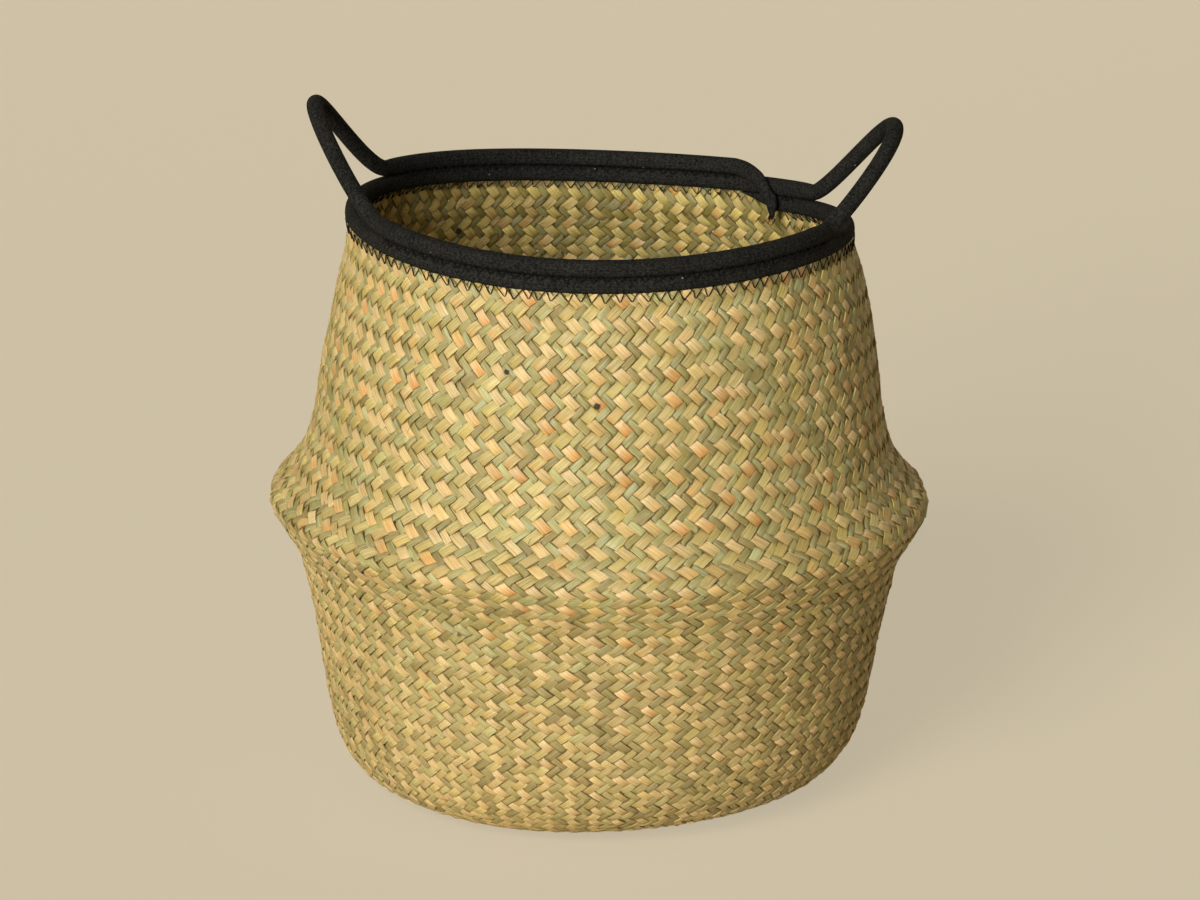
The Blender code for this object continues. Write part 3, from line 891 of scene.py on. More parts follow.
    def _mat(self) -> bpy.types.NodeTree:
        """Geometry Nodes tree that lays straight strips side by side and cuts them to the base's round."""
        group = Group(
            "base_mat",
            GEOMETRY_TREE,
            (
                Port("Strip", "NodeSocketGeometry"),
                Port("Spacing", "NodeSocketFloat", self.base_strip),
                Port("Radius", "NodeSocketFloat", self.base_radius + self.base_overlap),
                Port("Along Y", "NodeSocketBool", False),
                Port("Material", "NodeSocketMaterial"),
            ),
            (Port("Mat", "NodeSocketGeometry"),),
        )
        graph = group.graph
        spacing = group.take("Spacing")
        count = graph.math("CEIL", group.take("Radius") / spacing)
        points = graph.call(
            "GeometryNodeMeshLine", {"Count": count * 2.0 + 1.0, "Offset": (0.0, 0.0, 0.0)}, "Mesh"
        )
        number = graph.call("GeometryNodeInputIndex", {}, "Index")
        side = (number - count) * spacing
        repeat = len(self.over_profile) / self.steps_per_crossing
        shift = graph.modulo(number - count, repeat) * spacing
        along_y = group.take("Along Y")
        place = graph.vector(
            shift * along_y + side * (1.0 - along_y),
            side * along_y + shift * (1.0 - along_y),
            0.0,
        )
        spread = graph.call("GeometryNodeSetPosition", {"Geometry": points, "Position": place}, "Geometry")
        mat = placed(graph, spread, group.take("Strip"), number)
        x, y, z = graph.position()
        reach, angle = graph.reach(x, y), graph.bearing(x, y)
        cut = without(graph, mat, graph.below(group.take("Radius"), reach))
        settled, height = self.settled(graph, angle, reach, z)
        share = graph.ease(reach, self.flat_radius, self.base_radius)
        cut = moved(graph, cut, angle, reach + (settled - reach) * share, z + (height - z) * share)
        group.give("Mat", dressed(graph, cut, group.take("Material")))
        return group.tree


@dataclass
class Slivers:
    """Fine loose slivers of stalk, scattered over the skin of the woven body."""

    body: WovenBody
    lean: float = math.radians(50)
    lean_spread: float = 0.35
    sizes: tuple = (0.4, 1.3)
    bow: float = 12.0
    lift: float = 0.0004
    dip: float = 60.0
    girth: tuple = (0.45, 0.08)
    points: int = 5
    skin_sides: int = 96
    skin_steps: int = 60
    skin_first_row: float = 2.0
    skin_clearance: float = 0.006

    def skin_mesh(self) -> bpy.types.Mesh:
        """Outer skin of the body between base and edge, as a plain ring of faces."""
        sides, steps = self.skin_sides, self.skin_steps
        top_height = self.body.rim.edge_height - self.skin_clearance
        top = float(np.interp(top_height, self.body.meridian[:, 1], self.body.rows))
        row = np.linspace(self.skin_first_row, top, steps)
        radius, height, out, up = self.body.along_outline(row)
        lift = self.body.relief + self.body.half_thickness
        points = []
        for index in range(steps):
            for side in range(sides):
                point = polar(
                    float(radius[index] + out[index] * lift),
                    math.tau * side / sides,
                    float(height[index] + up[index] * lift),
                )
                points.append(point)
        mesh = bpy.data.meshes.new("skin")
        mesh.from_pydata(points, [], ring_faces(steps, sides))
        return mesh

    def _tree(self) -> bpy.types.NodeTree:
        """Geometry Nodes tree that scatters fine loose slivers of stalk over the skin."""
        group = Group(
            "loose_slivers",
            GEOMETRY_TREE,
            (
                Port("Skin", "NodeSocketGeometry"),
                Port("Density", "NodeSocketFloat", 1500.0),
                Port("Length", "NodeSocketFloat", 0.0060),
                Port("Width", "NodeSocketFloat", 0.00032),
                Port("Seed", "NodeSocketInt", 5),
                Port("Material", "NodeSocketMaterial"),
            ),
            (Port("Slivers", "NodeSocketGeometry"),),
        )
        graph = group.graph
        x, y, z = graph.position()
        angle = graph.bearing(x, y)
        radius, height = self.body.settled(graph, angle, graph.reach(x, y), z)
        skin = moved(graph, group.take("Skin"), angle, radius, height)
        seed = group.take("Seed")
        scatter = graph.node("GeometryNodeDistributePointsOnFaces")
        graph.feed(scatter.inputs["Mesh"], skin)
        graph.feed(scatter.inputs["Density"], group.take("Density"))
        graph.feed(scatter.inputs["Seed"], seed)
        length = group.take("Length")
        line = graph.call(
            "GeometryNodeCurvePrimitiveLine",
            {"Start": graph.vector(length * -0.5, 0.0, 0.0), "End": graph.vector(length * 0.5, 0.0, 0.0)},
            "Curve",
        )
        line = graph.call("GeometryNodeResampleCurve", {"Curve": line, "Count": self.points}, "Curve")
        x = graph.position()[0]
        bow = graph.vector(0.0, x * x * self.bow, self.lift - x * x * self.dip)
        line = graph.call("GeometryNodeSetPosition", {"Geometry": line, "Offset": bow}, "Geometry")
        share = graph.call("GeometryNodeSplineParameter", {}, "Factor")
        middle, tip = self.girth
        thin = tube(graph, line, 3, group.take("Width"), graph.sin(share * math.pi) * middle + tip)
        upright = Field(graph, scatter.outputs["Rotation"])
        pick = drawn(graph, -1.0, 1.0, seed + 1.0)
        lean = graph.math("SIGN", pick) * self.lean + pick * self.lean_spread
        turns = {"Rotation": upright, "Rotate By": spin(graph, lean)}
        spun = graph.call("FunctionNodeRotateRotation", turns, "Rotation", rotation_space="LOCAL")
        size = graph.vector(drawn(graph, *self.sizes, seed + 2.0), 1.0, 1.0)
        points = Field(graph, scatter.outputs["Points"])
        number = graph.call("GeometryNodeInputIndex", {}, "Index")
        slivers = placed(graph, points, thin, number * 2.0, Rotation=spun, Scale=size)
        group.give("Slivers", dressed(graph, slivers, group.take("Material")))
        return group.tree

    def build(self, finish: "Seagrass") -> bpy.types.Object:
        """Scatter the slivers and bake them in place as the weave is."""
        piece = grow(self.skin_mesh(), self._tree(), "loose_slivers", material=finish.material)
        self.body.hang(piece)
        return piece


# Cord


class End(Enum):
    """How a piece of cord ends, with how far its end stands out as a share of its half section."""

    ROUNDED = 0.98
    CUT = 0.16


@dataclass
class Tube:
    """A piece of cord along a path, with an oval section that may change on the way."""

    path: list[Vector]
    halves: list[tuple[float, float]]
    powers: list[float]
    side_way: Vector
    ends: tuple[End, End]
    sides: int = 28
    cap_steps: int = 6
    blunt_step: float = 0.35

    def mesh(self) -> bpy.types.Mesh:
        """Sweep the section along the path.

        Returns:
            A closed mesh with a texture map of length along and share round.
        """
        path, halves, powers = self._with_caps()
        count = len(path)
        ways = [(path[min(i + 1, count - 1)] - path[max(i - 1, 0)]).normalized() for i in range(count)]
        side = (self.side_way - ways[0] * self.side_way.dot(ways[0])).normalized()
        points, lengths = [], [0.0]
        for index, (centre, way) in enumerate(zip(path, ways)):
            if index:
                side = ways[index - 1].rotation_difference(way) @ side
                side = (side - way * side.dot(way)).normalized()
                lengths.append(lengths[-1] + (centre - path[index - 1]).length)
            rise = way.cross(side)
            for corner in range(self.sides):
                turn = math.tau * corner / self.sides
                across, up = (
                    math.copysign(abs(share) ** (2.0 / powers[index]), share)
                    for share in (math.cos(turn), math.sin(turn))
                )
                points.append(centre + side * across * halves[index][0] + rise * up * halves[index][1])
        return self._skin(points, lengths)

    def _with_caps(self) -> tuple[list[Vector], list[tuple[float, float]], list[float]]:
        """Path, sections and section powers with the sections that round off each end."""
        path, halves, powers = list(self.path), list(self.halves), list(self.powers)
        for last, end in ((False, self.ends[0]), (True, self.ends[1])):
            tip, inner = (path[-1], path[-2]) if last else (path[0], path[1])
            width, height = halves[-1] if last else halves[0]
            power = powers[-1] if last else powers[0]
            way = (tip - inner).normalized()
            reach = min(width, height) * end.value
            for step in range(1, self.cap_steps + 1):
                turn = math.pi / 2.0 * step / (self.cap_steps + self.blunt_step)
                centre = tip + way * reach * math.sin(turn)
                shrunk = (width * math.cos(turn), height * math.cos(turn))
                place = len(path) if last else 0
                path.insert(place, centre)
                halves.insert(place, shrunk)
                powers.insert(place, power)
        return path, halves, powers

    def _skin(self, points: list[Vector], lengths: list[float]) -> bpy.types.Mesh:
        """Join the sections with faces, close the ends and lay the texture map."""
        sides, count = self.sides, len(lengths)
        faces = end_faces(count, sides) + ring_faces(count, sides)
        mesh = bpy.data.meshes.new("cord")
        mesh.from_pydata(points, [], faces)
        shape = bmesh.new()
        shape.from_mesh(mesh)
        uv_layer = shape.loops.layers.uv.new("cord_uv")
        for face in shape.faces:
            face.smooth = True
            places = [divmod(loop.vert.index, sides) for loop in face.loops]
            wraps = len(face.verts) == 4 and max(p[1] for p in places) - min(p[1] for p in places) > 1
            for loop, (section, corner) in zip(face.loops, places):
                around = corner + (sides if wraps and corner == 0 else 0)
                loop[uv_layer].uv = (lengths[section], around / sides)
        bmesh.ops.recalc_face_normals(shape, faces=shape.faces)
        shape.to_mesh(mesh)
        shape.free()
        return mesh


@dataclass
class SpiralCord:
    """The black cord: a sewn first turn, an upper round, two handles and an end tucked inside."""

    rim: Rim
    foot_angle: float = math.radians(28.8)
    right_front_foot_angle: float = math.radians(26.4)
    press_length: float = 0.0100
    sewn_power: float = 2.7
    taper_shares: tuple = (0.92, 0.8, 0.65, 0.5, 0.33, 0.16)
    tail_thickness: float = 0.0046
    tail_width: float = 0.0064
    tail_sag: float = 0.0050
    tail_sag_start: float = 0.6
    tail_drop: float = 0.0005
    tail_lead: float = math.radians(13.8)
    tail_roll: float = 0.0324
    tail_ease: float = 1.10
    tail_slant: float = math.radians(0.1)
    tail_tip_share: float = 0.34
    thread_room: float = 0.0012
    neck_share: float = 0.965
    left_crown: tuple = (-0.1362, 0.0, 0.3360)
    left_curve: float = 0.0270
    left_lead: float = 0.0180
    right_crown: tuple = (0.1412, 0.0, 0.3245)
    right_curve: float = 0.0360
    right_lead: float = 0.0130
    step_angle: float = math.radians(0.7)
    handle_steps: int = 44
    tail_steps: int = 16

    @property
    def back_right(self) -> float:
        """Angle of the right handle's back foot."""
        return self.foot_angle

    @property
    def front_right(self) -> float:
        """Angle of the right handle's front foot."""
        return -self.right_front_foot_angle

    @property
    def front_left(self) -> float:
        """Angle of the left handle's front foot."""
        return self.foot_angle - math.pi

    @property
    def back_left(self) -> float:
        """Angle of the left handle's back foot."""
        return -self.foot_angle - math.pi

    @property
    def tail_angle(self) -> float:
        """Angle where the upper round starts to roll inside."""
        return self.rim.junction + self.tail_lead - math.tau

    def sewn(self, start: float, end: float, turn: int, foot_start: bool, foot_end: bool) -> tuple:
        """Path and sections of a sewn stretch, turning round again toward a handle's foot.

        Args:
            start: Angle where it starts.
            end: Angle where it ends, clockwise.
            turn: Which round of the spiral it belongs to.
            foot_start: Whether a handle's foot is at its start.
            foot_end: Whether a handle's foot is at its end.

        Returns:
            Path, half sizes and section powers.
        """
        rim = self.rim
        count = max(4, math.ceil((start - end) / self.step_angle))
        path, halves, powers = [], [], []
        for angle in np.linspace(start, end, count + 1):
            angle = float(angle)
            to_foot = self.press_length
            if foot_start:
                to_foot = min(to_foot, (start - angle) * rim.ring_radius)
            if foot_end:
                to_foot = min(to_foot, (angle - end) * rim.ring_radius)
            pressed = smooth_step(to_foot / self.press_length)
            half_width = (rim.cord_diameter + (rim.sewn_width - rim.cord_diameter) * pressed) / 2.0
            half_height = (rim.cord_diameter + (rim.sewn_height - rim.cord_diameter) * pressed) / 2.0
            path.append(polar(rim.ring_radius, angle, rim.underside(angle, turn) + half_height))
            halves.append((half_width, half_height + rim.gap / 2.0 * pressed))
            powers.append(2.0 + (self.sewn_power - 2.0) * pressed)
        return path, halves, powers

    def start_taper(self) -> tuple:
        """Path and sections of the cord's cut start, in the wedge over the edge's ramp."""
        rim = self.rim
        path, halves, powers = [], [], []
        for share in self.taper_shares:
            angle = rim.junction + share * rim.ramp
            full_rise = rim.pitch * ((rim.junction - angle) % math.tau) / math.tau
            bottom = float(rim.wave(angle)) + full_rise * share + rim.gap
            height = full_rise * (1.0 - share) - rim.gap
            path.append(polar(rim.ring_radius, angle, bottom + height / 2.0))
            halves.append((rim.sewn_width * (1.0 - share / 2.0) / 2.0, height / 2.0))
            powers.append(self.sewn_power)
        return path, halves, powers

    def tail(self) -> tuple:
        """Path and sections of the cord's end, which rolls over the first turn and hangs inside."""
        rim = self.rim
        beside = (rim.sewn_width + self.tail_thickness) / 2.0 + self.thread_room
        roll = self.tail_roll / rim.ring_radius
        path, halves, powers = [], [], []
        for step in range(1, self.tail_steps + 1):
            share = step / self.tail_steps
            over = math.pi / 2.0 * share ** self.tail_ease
            angle = self.tail_angle - roll * share
            radius = rim.ring_radius - beside * math.sin(over)
            sag = self.tail_sag * smooth_step((share - self.tail_sag_start) / (1.0 - self.tail_sag_start))
            path.append(polar(radius, angle, rim.centre(angle, 0) + rim.pitch * math.cos(over) - sag))
        bend = path[-1]
        bend_angle = self.tail_angle - roll
        end_height = float(rim.wave(rim.junction)) - self.tail_drop
        drop_steps = self.tail_steps // 2
        for step in range(1, drop_steps + 1):
            share = step / drop_steps
            height = bend.z + (end_height - bend.z) * share
            path.append(polar(rim.ring_radius - beside, bend_angle - self.tail_slant * share, height))
        for index in range(1, len(path) + 1):
            thinned = smooth_step(index / self.tail_steps)
            narrowed = smooth_step(index / len(path))
            tip = 1.0 - (1.0 - self.tail_tip_share) * smooth_step((index - self.tail_steps - 2) / drop_steps)
            halves.append((
                (rim.sewn_width + (self.tail_thickness - rim.sewn_width) * thinned) * tip / 2.0,
                (rim.sewn_height + (self.tail_width - rim.sewn_height) * narrowed) * tip / 2.0,
            ))
            powers.append(self.sewn_power + (2.0 - self.sewn_power) * thinned)
        return path, halves, powers

    def handle(self, angles: tuple[float, float], crown: tuple, lead: float, curve: float) -> tuple:
        """Path and sections of a handle between its two feet.

        Args:
            angles: Angles of its front and back feet.
            crown: Middle of the cord at its highest point.
            lead: How far it keeps to the rim's direction at its feet.
            curve: How broad its crown is.

        Returns:
            Path, half sizes and section powers.
        """
        front, back, top = self.rim.foot(angles[0]), self.rim.foot(angles[1]), Vector(crown)
        along = Vector((0.0, curve, 0.0))
        out = 1.0 if top.x > 0.0 else -1.0
        front_way = polar(out, angles[0] + math.pi / 2.0, 0.0)
        back_way = polar(out, angles[1] - math.pi / 2.0, 0.0)
        rising = interpolate_bezier(front, front + front_way * lead, top - along, top, self.handle_steps)
        falling = interpolate_bezier(top, top + along, back + back_way * lead, back, self.handle_steps)
        path = rising + falling[1:]
        halves = []
        for point in path:
            near = min((point - front).length, (point - back).length)
            share = self.neck_share + (1.0 - self.neck_share) * smooth_step(near / self.press_length)
            halves.append((self.rim.cord_diameter * share / 2.0,) * 2)
        return path, halves, [2.0] * len(path)

    def build(self, finish: "Cotton") -> list[bpy.types.Object]:
        """Make every piece of the cord and hang it on its body.

        Args:
            finish: The cord's finish.

        Returns:
            The pieces of cord.
        """
        rim = self.rim
        first_sewn = self.sewn(rim.junction, self.back_right - math.tau, 0, False, True)
        first = [a + b for a, b in zip(self.start_taper(), first_sewn)]
        front = self.sewn(self.front_right, self.front_left, 1, True, True)
        back_sewn = self.sewn(self.back_left, self.tail_angle, 1, True, False)
        back = [a + b for a, b in zip(back_sewn, self.tail())]
        left_feet, right_feet = (self.front_left, self.back_left), (self.front_right, self.back_right)
        left = self.handle(left_feet, self.left_crown, self.left_lead, self.left_curve)
        right = self.handle(right_feet, self.right_crown, self.right_lead, self.right_curve)
        both_round = (End.ROUNDED, End.ROUNDED)
        runs = (
            ("first_turn", first, rim.junction, both_round, UPPER_BODY, "first_turn_cord"),
            ("front_run", front, self.front_right, both_round, UPPER_BODY, "front_run_cord"),
            ("back_run", back, self.back_left, (End.ROUNDED, End.CUT), UPPER_BODY, "back_run_cord"),
            ("left_handle_cord", left, self.front_left, both_round, "left_handle_body", "left_handle"),
            ("right_handle_cord", right, self.front_right, both_round, "right_handle_body", "right_handle"),
        )
        pieces = []
        for name, (path, halves, powers), angle, ends, body, node in runs:
            mesh = Tube(path, halves, powers, polar(1.0, angle, 0.0), ends).mesh()
            mesh.materials.append(finish.material)
            piece = link(mesh, name)
            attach(piece, body)
            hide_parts(node)
            LOG.info("%s: %d faces", name, len(mesh.polygons))
            pieces.append(piece)
        return pieces


@dataclass
class FrayedEnd:
    """Loose yarn ends that stand out of the cord's cut end."""

    cord: SpiralCord
    yarns: int = 46
    yarn_radius: float = 0.00016
    yarn_sides: int = 4
    length: float = 0.0032
    length_shares: tuple = (0.35, 1.0)
    root_depth: float = 0.0006
    filled_share: float = 0.85
    splay: tuple = (0.1, 0.6)
    droop: float = 0.16
    steps: int = 5
    seed: int = 4

    def lines(self) -> bpy.types.Mesh:
        """Yarns as lines that start inside the cord's end and splay downward.

        Returns:
            A mesh of edges.
        """
        rng = np.random.default_rng(self.seed)
        path, halves, _ = self.cord.tail()
        tip, before = path[-1], path[-3]
        way = (tip - before).normalized()
        side = way.orthogonal().normalized()
        across = way.cross(side)
        points, edges = [], []
        for _ in range(self.yarns):
            turn, share = rng.uniform(0.0, math.tau), math.sqrt(rng.uniform(0.0, 1.0))
            out = side * math.cos(turn) + across * math.sin(turn)
            start = tip - way * self.root_depth + out * share * halves[-1][1] * self.filled_share
            heading = (way + out * rng.uniform(*self.splay) * share).normalized()
            length = self.length * rng.uniform(*self.length_shares)
            droop = Vector(rng.normal(0.0, self.droop, 3))
            for step in range(self.steps):
                reach = step / (self.steps - 1)
                if step:
                    edges.append((len(points) - 1, len(points)))
                points.append(start + heading * length * reach + droop * length * reach ** 2)
        mesh = bpy.data.meshes.new("yarns")
        mesh.from_pydata(points, edges, [])
        return mesh

    def build(self, tree: bpy.types.NodeTree, finish: "Thread") -> bpy.types.Object:
        """Lay a yarn along each line and hang the fray on the rim."""
        piece = grow(
            self.lines(),
            tree,
            "frayed_end",
            thread_radius=self.yarn_radius,
            sides=self.yarn_sides,
            material=finish.material,
        )
        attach(piece, UPPER_BODY)
        return piece


@dataclass
class Seams:
    """The black zigzag threads that sew cord to weave and round to round."""

    rim: Rim
    cord: SpiralCord
    body: WovenBody
    thread_radius: float = 0.00025
    pitch: float = 0.0060
    reach: float = 0.0038
    edge_bite_share: float = 0.57
    round_bite_share: float = 0.50
    stand_off: float = 0.00030
    first_share: float = math.radians(3)
    leg_points: int = 4
    unevenness: float = 0.09
    hole_drift: float = 0.00030
    drift_limit: float = 0.0006
    seed: int = 3

    def on_cord(self, angle: float, turn: int, bite: float, face: int) -> Vector:
        """Needle hole on a sewn round, bite of its half height up its outer or inner face."""
        rim = self.rim
        half_width, half_height = rim.sewn_width / 2.0, rim.sewn_height / 2.0
        flat = (1.0 - abs(bite) ** self.cord.sewn_power) ** (1.0 / self.cord.sewn_power)
        out = half_width * flat + self.stand_off
        return polar(rim.ring_radius + face * out, angle, rim.centre(angle, turn) + half_height * bite)

    def on_weave(self, angle: float, face: int) -> Vector:
        """Needle hole in the weave, under the edge, on its outer or inner face."""
        height = float(self.rim.edge(angle)) - self.reach
        waved = height - float(self.rim.wave(angle)) + self.rim.edge_height
        radius = float(np.interp(waved, self.body.meridian[:, 1], self.body.meridian[:, 0]))
        middle = radius - self.body.skin_inset
        skin = self.body.relief + self.body.half_thickness
        return polar(middle + face * (skin + self.stand_off / 2.0), angle, height)

    def zigzag(self, start: float, end: float, low: Any, high: Any) -> bpy.types.Mesh:
        """Line of stitches from start clockwise to end.

        Args:
            start: Angle where the seam starts.
            end: Angle where it ends.
            low: Gives the lower needle hole at an angle.
            high: Gives the upper needle hole at an angle.

        Returns:
            A mesh of edges.
        """
        stitches = max(2, round((start - end) * self.rim.ring_radius / self.pitch))
        rng = np.random.default_rng(self.seed + stitches)
        holes = []
        for index in range(2 * stitches + 1):
            inner = 0 < index < 2 * stitches
            place = index + (rng.normal(0.0, self.unevenness) * 2.0 if inner else 0.0)
            angle = start + (end - start) * place / (2 * stitches)
            drift = UP * float(np.clip(rng.normal(0.0, self.hole_drift), -self.drift_limit, self.drift_limit))
            holes.append((high(angle) if index % 2 else low(angle)) + drift)
        points = []
        for first, second in zip(holes[:-1], holes[1:]):
            for step in range(self.leg_points):
                points.append(first.lerp(second, step / self.leg_points))
        points.append(holes[-1])
        mesh = bpy.data.meshes.new("zigzag")
        mesh.from_pydata(points, [(i, i + 1) for i in range(len(points) - 1)], [])
        return mesh

    def _thread_tree(self) -> bpy.types.NodeTree:
        """Geometry Nodes tree that lays a round thread along a line of stitches."""
        group = Group(
            "sewn_thread",
            GEOMETRY_TREE,
            (
                Port("Line", "NodeSocketGeometry"),
                Port("Thread Radius", "NodeSocketFloat", self.thread_radius),
                Port("Bend Radius", "NodeSocketFloat", self.thread_radius * 1.5),
                Port("Sides", "NodeSocketInt", 6),
                Port("Material", "NodeSocketMaterial"),
            ),
            (Port("Thread", "NodeSocketGeometry"),),
        )
        graph = group.graph
        line = graph.call("GeometryNodeMeshToCurve", {"Mesh": group.take("Line")}, "Curve")
        bent = graph.call(
            "GeometryNodeFilletCurve",
            {"Curve": line, "Radius": group.take("Bend Radius"), "Limit Radius": True},
            "Curve",
        )
        length = graph.call("GeometryNodeSplineParameter", {}, "Length")
        marked = stored(graph, bent, "along", length, "POINT")
        thread = tube(graph, marked, group.take("Sides"), group.take("Thread Radius"))
        group.give("Thread", dressed(graph, thread, group.take("Material")))
        return group.tree

    def build(self, finish: "Thread") -> list[bpy.types.Object]:
        """Sew every seam.

        Args:
            finish: The thread's finish.

        Returns:
            The threads.
        """
        rim, cord = self.rim, self.cord
        tree = self._thread_tree()
        clear = cord.press_length / rim.ring_radius
        ramp_end = rim.junction + rim.ramp - math.tau
        first = rim.junction - self.first_share
        pieces = []
        for side, face in (("outer", 1), ("inner", -1)):
            lines = {
                f"edge_seam_{side}": self.zigzag(
                    first, ramp_end,
                    lambda a: self.on_weave(a, face),
                    lambda a: self.on_cord(a, 0, -self.edge_bite_share, face),
                ),
            }
            stretches = (
                ("right", first, cord.back_right + clear),
                ("front", cord.front_right - clear, cord.front_left + clear),
                ("back", cord.back_left - clear, ramp_end),
            )
            for name, start, end in stretches:
                lines[f"{name}_round_seam_{side}"] = self.zigzag(
                    start, end,
                    lambda a: self.on_cord(a, 0, self.round_bite_share, face),
                    lambda a: self.on_cord(a, 1, -self.round_bite_share, face),
                )
            for name, line in lines.items():
                piece = grow(line, tree, name + "_thread", material=finish.material)
                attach(piece, UPPER_BODY)
                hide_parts(name)
                pieces.append(piece)
        pieces.append(FrayedEnd(cord).build(tree, finish))
        return pieces


# Finishes


def attribute(graph: Graph, name: str) -> Field:
    """A value stored on the mesh, in a material."""
    return graph.call("ShaderNodeAttribute", {}, "Fac", attribute_name=name)


def fibre_group() -> bpy.types.NodeTree:
    """Shader group: fine lines along a strip or cord, from its own texture map."""
    group = Group(
        "fibre_lines",
        SHADER_TREE,
        (
            Port("Along", "NodeSocketFloat", 0.0),
            Port("Across", "NodeSocketFloat", 0.0),
            Port("Offset", "NodeSocketFloat", 0.0),
            Port("Lines", "NodeSocketFloat", 5.0),
            Port("Length Scale", "NodeSocketFloat", 45.0),
        ),
        (Port("Lines", "NodeSocketFloat"),),
    )
    graph = group.graph
    place = graph.vector(
        group.take("Along") * group.take("Length Scale"),
        group.take("Across") * group.take("Lines"),
        group.take("Offset"),
    )
    group.give("Lines", graph.ease(graph.noise(place, 1.0, 3.0, 0.62), 0.30, 0.70))
    return group.tree


class Finish:
    """Base of every finish: a material with a Principled shader and its graph."""

    def __init__(self, name: str, roughness: float, specular: float) -> None:
        """Make the material and set what is the same all over.

        Args:
            name: The material's name.
            roughness: Roughness before any variation.
            specular: Specular level.
        """
        self.material = bpy.data.materials.new(name)
        self.material.use_nodes = True
        self.graph = Graph(self.material.node_tree)
        self.shader = self.material.node_tree.nodes["Principled BSDF"]
        self.shader.inputs["Roughness"].default_value = roughness
        self.shader.inputs["Specular IOR Level"].default_value = specular

    def set(self, socket: str, value: Field) -> None:
        """Feed one of the shader's sockets."""
        self.graph.feed(self.shader.inputs[socket], value)

    def bump(self, height: Field, distance: float) -> None:
        """Raise the surface by a height field."""
        feeds = {"Height": height, "Distance": distance}
        self.set("Normal", self.graph.call("ShaderNodeBump", feeds, "Normal"))

    def lines(self, tree: bpy.types.NodeTree, **feeds: Value) -> Field:
        """Place the fibre group with its own values."""
        node = self.graph.node("ShaderNodeGroup", node_tree=tree)
        for name, value in feeds.items():
            self.graph.feed(node.inputs[name.replace("_", " ")], value)
        return Field(self.graph, node.outputs["Lines"])


@dataclass(frozen=True)
class Spot:
    """A dark spot on the stalks: its angle and height on the basket and how far it reaches."""

    angle: float
    height: float
    reach: float
    colour: Colour = srgb(40, 32, 26)


@dataclass(frozen=True)
class StrawColours:
    """Colours of dried seagrass, from sage green stalk to pale and orange straw. Some are painted light and
    shade: the dark gap colour and the inner sage colour are painted shade, the inner straw colour is painted
    light, and the orange, pink and pale grey-green colours are partly painted shade, highlight and sheen.
    """

    peach: tuple = (
        (0.0, srgb(226, 190, 117)), (0.22, srgb(240, 208, 142)), (0.45, srgb(243, 214, 153)),
        (0.68, srgb(236, 196, 121)), (0.86, srgb(242, 208, 146)), (1.0, srgb(224, 184, 112)),
    )
    khaki: tuple = (
        (0.0, srgb(206, 184, 104)), (0.22, srgb(216, 196, 117)), (0.45, srgb(222, 202, 130)),
        (0.68, srgb(204, 180, 102)), (0.86, srgb(226, 206, 138)), (1.0, srgb(198, 176, 100)),
    )
    sage: tuple = (
        (0.0, srgb(172, 160, 90)), (0.25, srgb(188, 180, 112)), (0.5, srgb(194, 186, 120)),
        (0.75, srgb(170, 150, 84)), (1.0, srgb(188, 172, 102)),
    )
    peach_low: Colour = srgb(222, 190, 124)
    khaki_low: Colour = srgb(206, 180, 116)
    sage_low: Colour = srgb(176, 152, 92)
    sage_pale: Colour = srgb(208, 188, 120)
    # Orange straw, also used as painted shade at the lower ends of floats.
    sunburnt_and_painted_shade: Colour = srgb(234, 162, 84)
    # Pink straw, also used as a painted highlight at the upper ends of floats.
    blush_and_painted_highlight: Colour = srgb(244, 208, 153)
    # Pale grey-green, partly the stalks' own tone and partly a painted sheen.
    silver_and_painted_sheen: Colour = srgb(202, 206, 157)
    taupe: Colour = srgb(164, 142, 89)
    # Painted shade: darker olive for sage on the inner faces.
    painted_inside_shade: Colour = srgb(140, 124, 46)
    # Painted light: brighter yellow for straw on the inner faces.
    painted_inside_light: Colour = srgb(246, 220, 124)
    # Painted shade: colour of the strips' edges and of their dives under one another.
    gap: Colour = srgb(62, 44, 14)
    spots: tuple = (
        Spot(math.radians(-90.6), 0.2242, 0.0021),
        Spot(math.radians(-109.4), 0.2379, 0.0017),
        Spot(math.radians(124.5), 0.2465, 0.0024),
        Spot(math.radians(-117.0), 0.1120, 0.0016, srgb(120, 70, 42)),
    )


@dataclass(frozen=True)
class StrawPattern:
    """How the stalks' colours vary. Zones are where a change sets in, and paces are per metre or stalk."""

    unchanged_share: float = 0.93
    drift_paces: tuple = (3.7, 26.0)
    float_offset: float = 0.25
    indoor_zone: tuple = (-0.25, 0.25)
    fresh_zone: tuple = (0.060, 0.165)
    fresh_share: float = 0.55
    bleached_scale: float = 11.0
    painted_light_side: float = 1.3
    # How fast the sage pales toward the lit left side: painted light.
    bleached_zone: tuple = (0.36, 0.66)
    burnt_zone: tuple = (0.62, 0.95)
    rosy_zone: tuple = (0.40, 0.95)
    silver_paces: tuple = (5.1, 90.0, 1.6)
    silver_zone: tuple = (0.46, 0.70)
    taupe_zone: tuple = (0.70, 0.98)
    ridges: float = 6.0
    hairs: float = 19.0
    hair_pace: float = 110.0
    darkest_shade: float = 0.4
    edge_zone: tuple = (0.93, 0.99)
    dive_zone: tuple = (0.445, 0.495)
    darkest_gap: float = 0.92
    spot_scale: float = 700.0
    spot_core: float = 0.55
    spot_share: float = 0.95
    relief: float = 0.00030


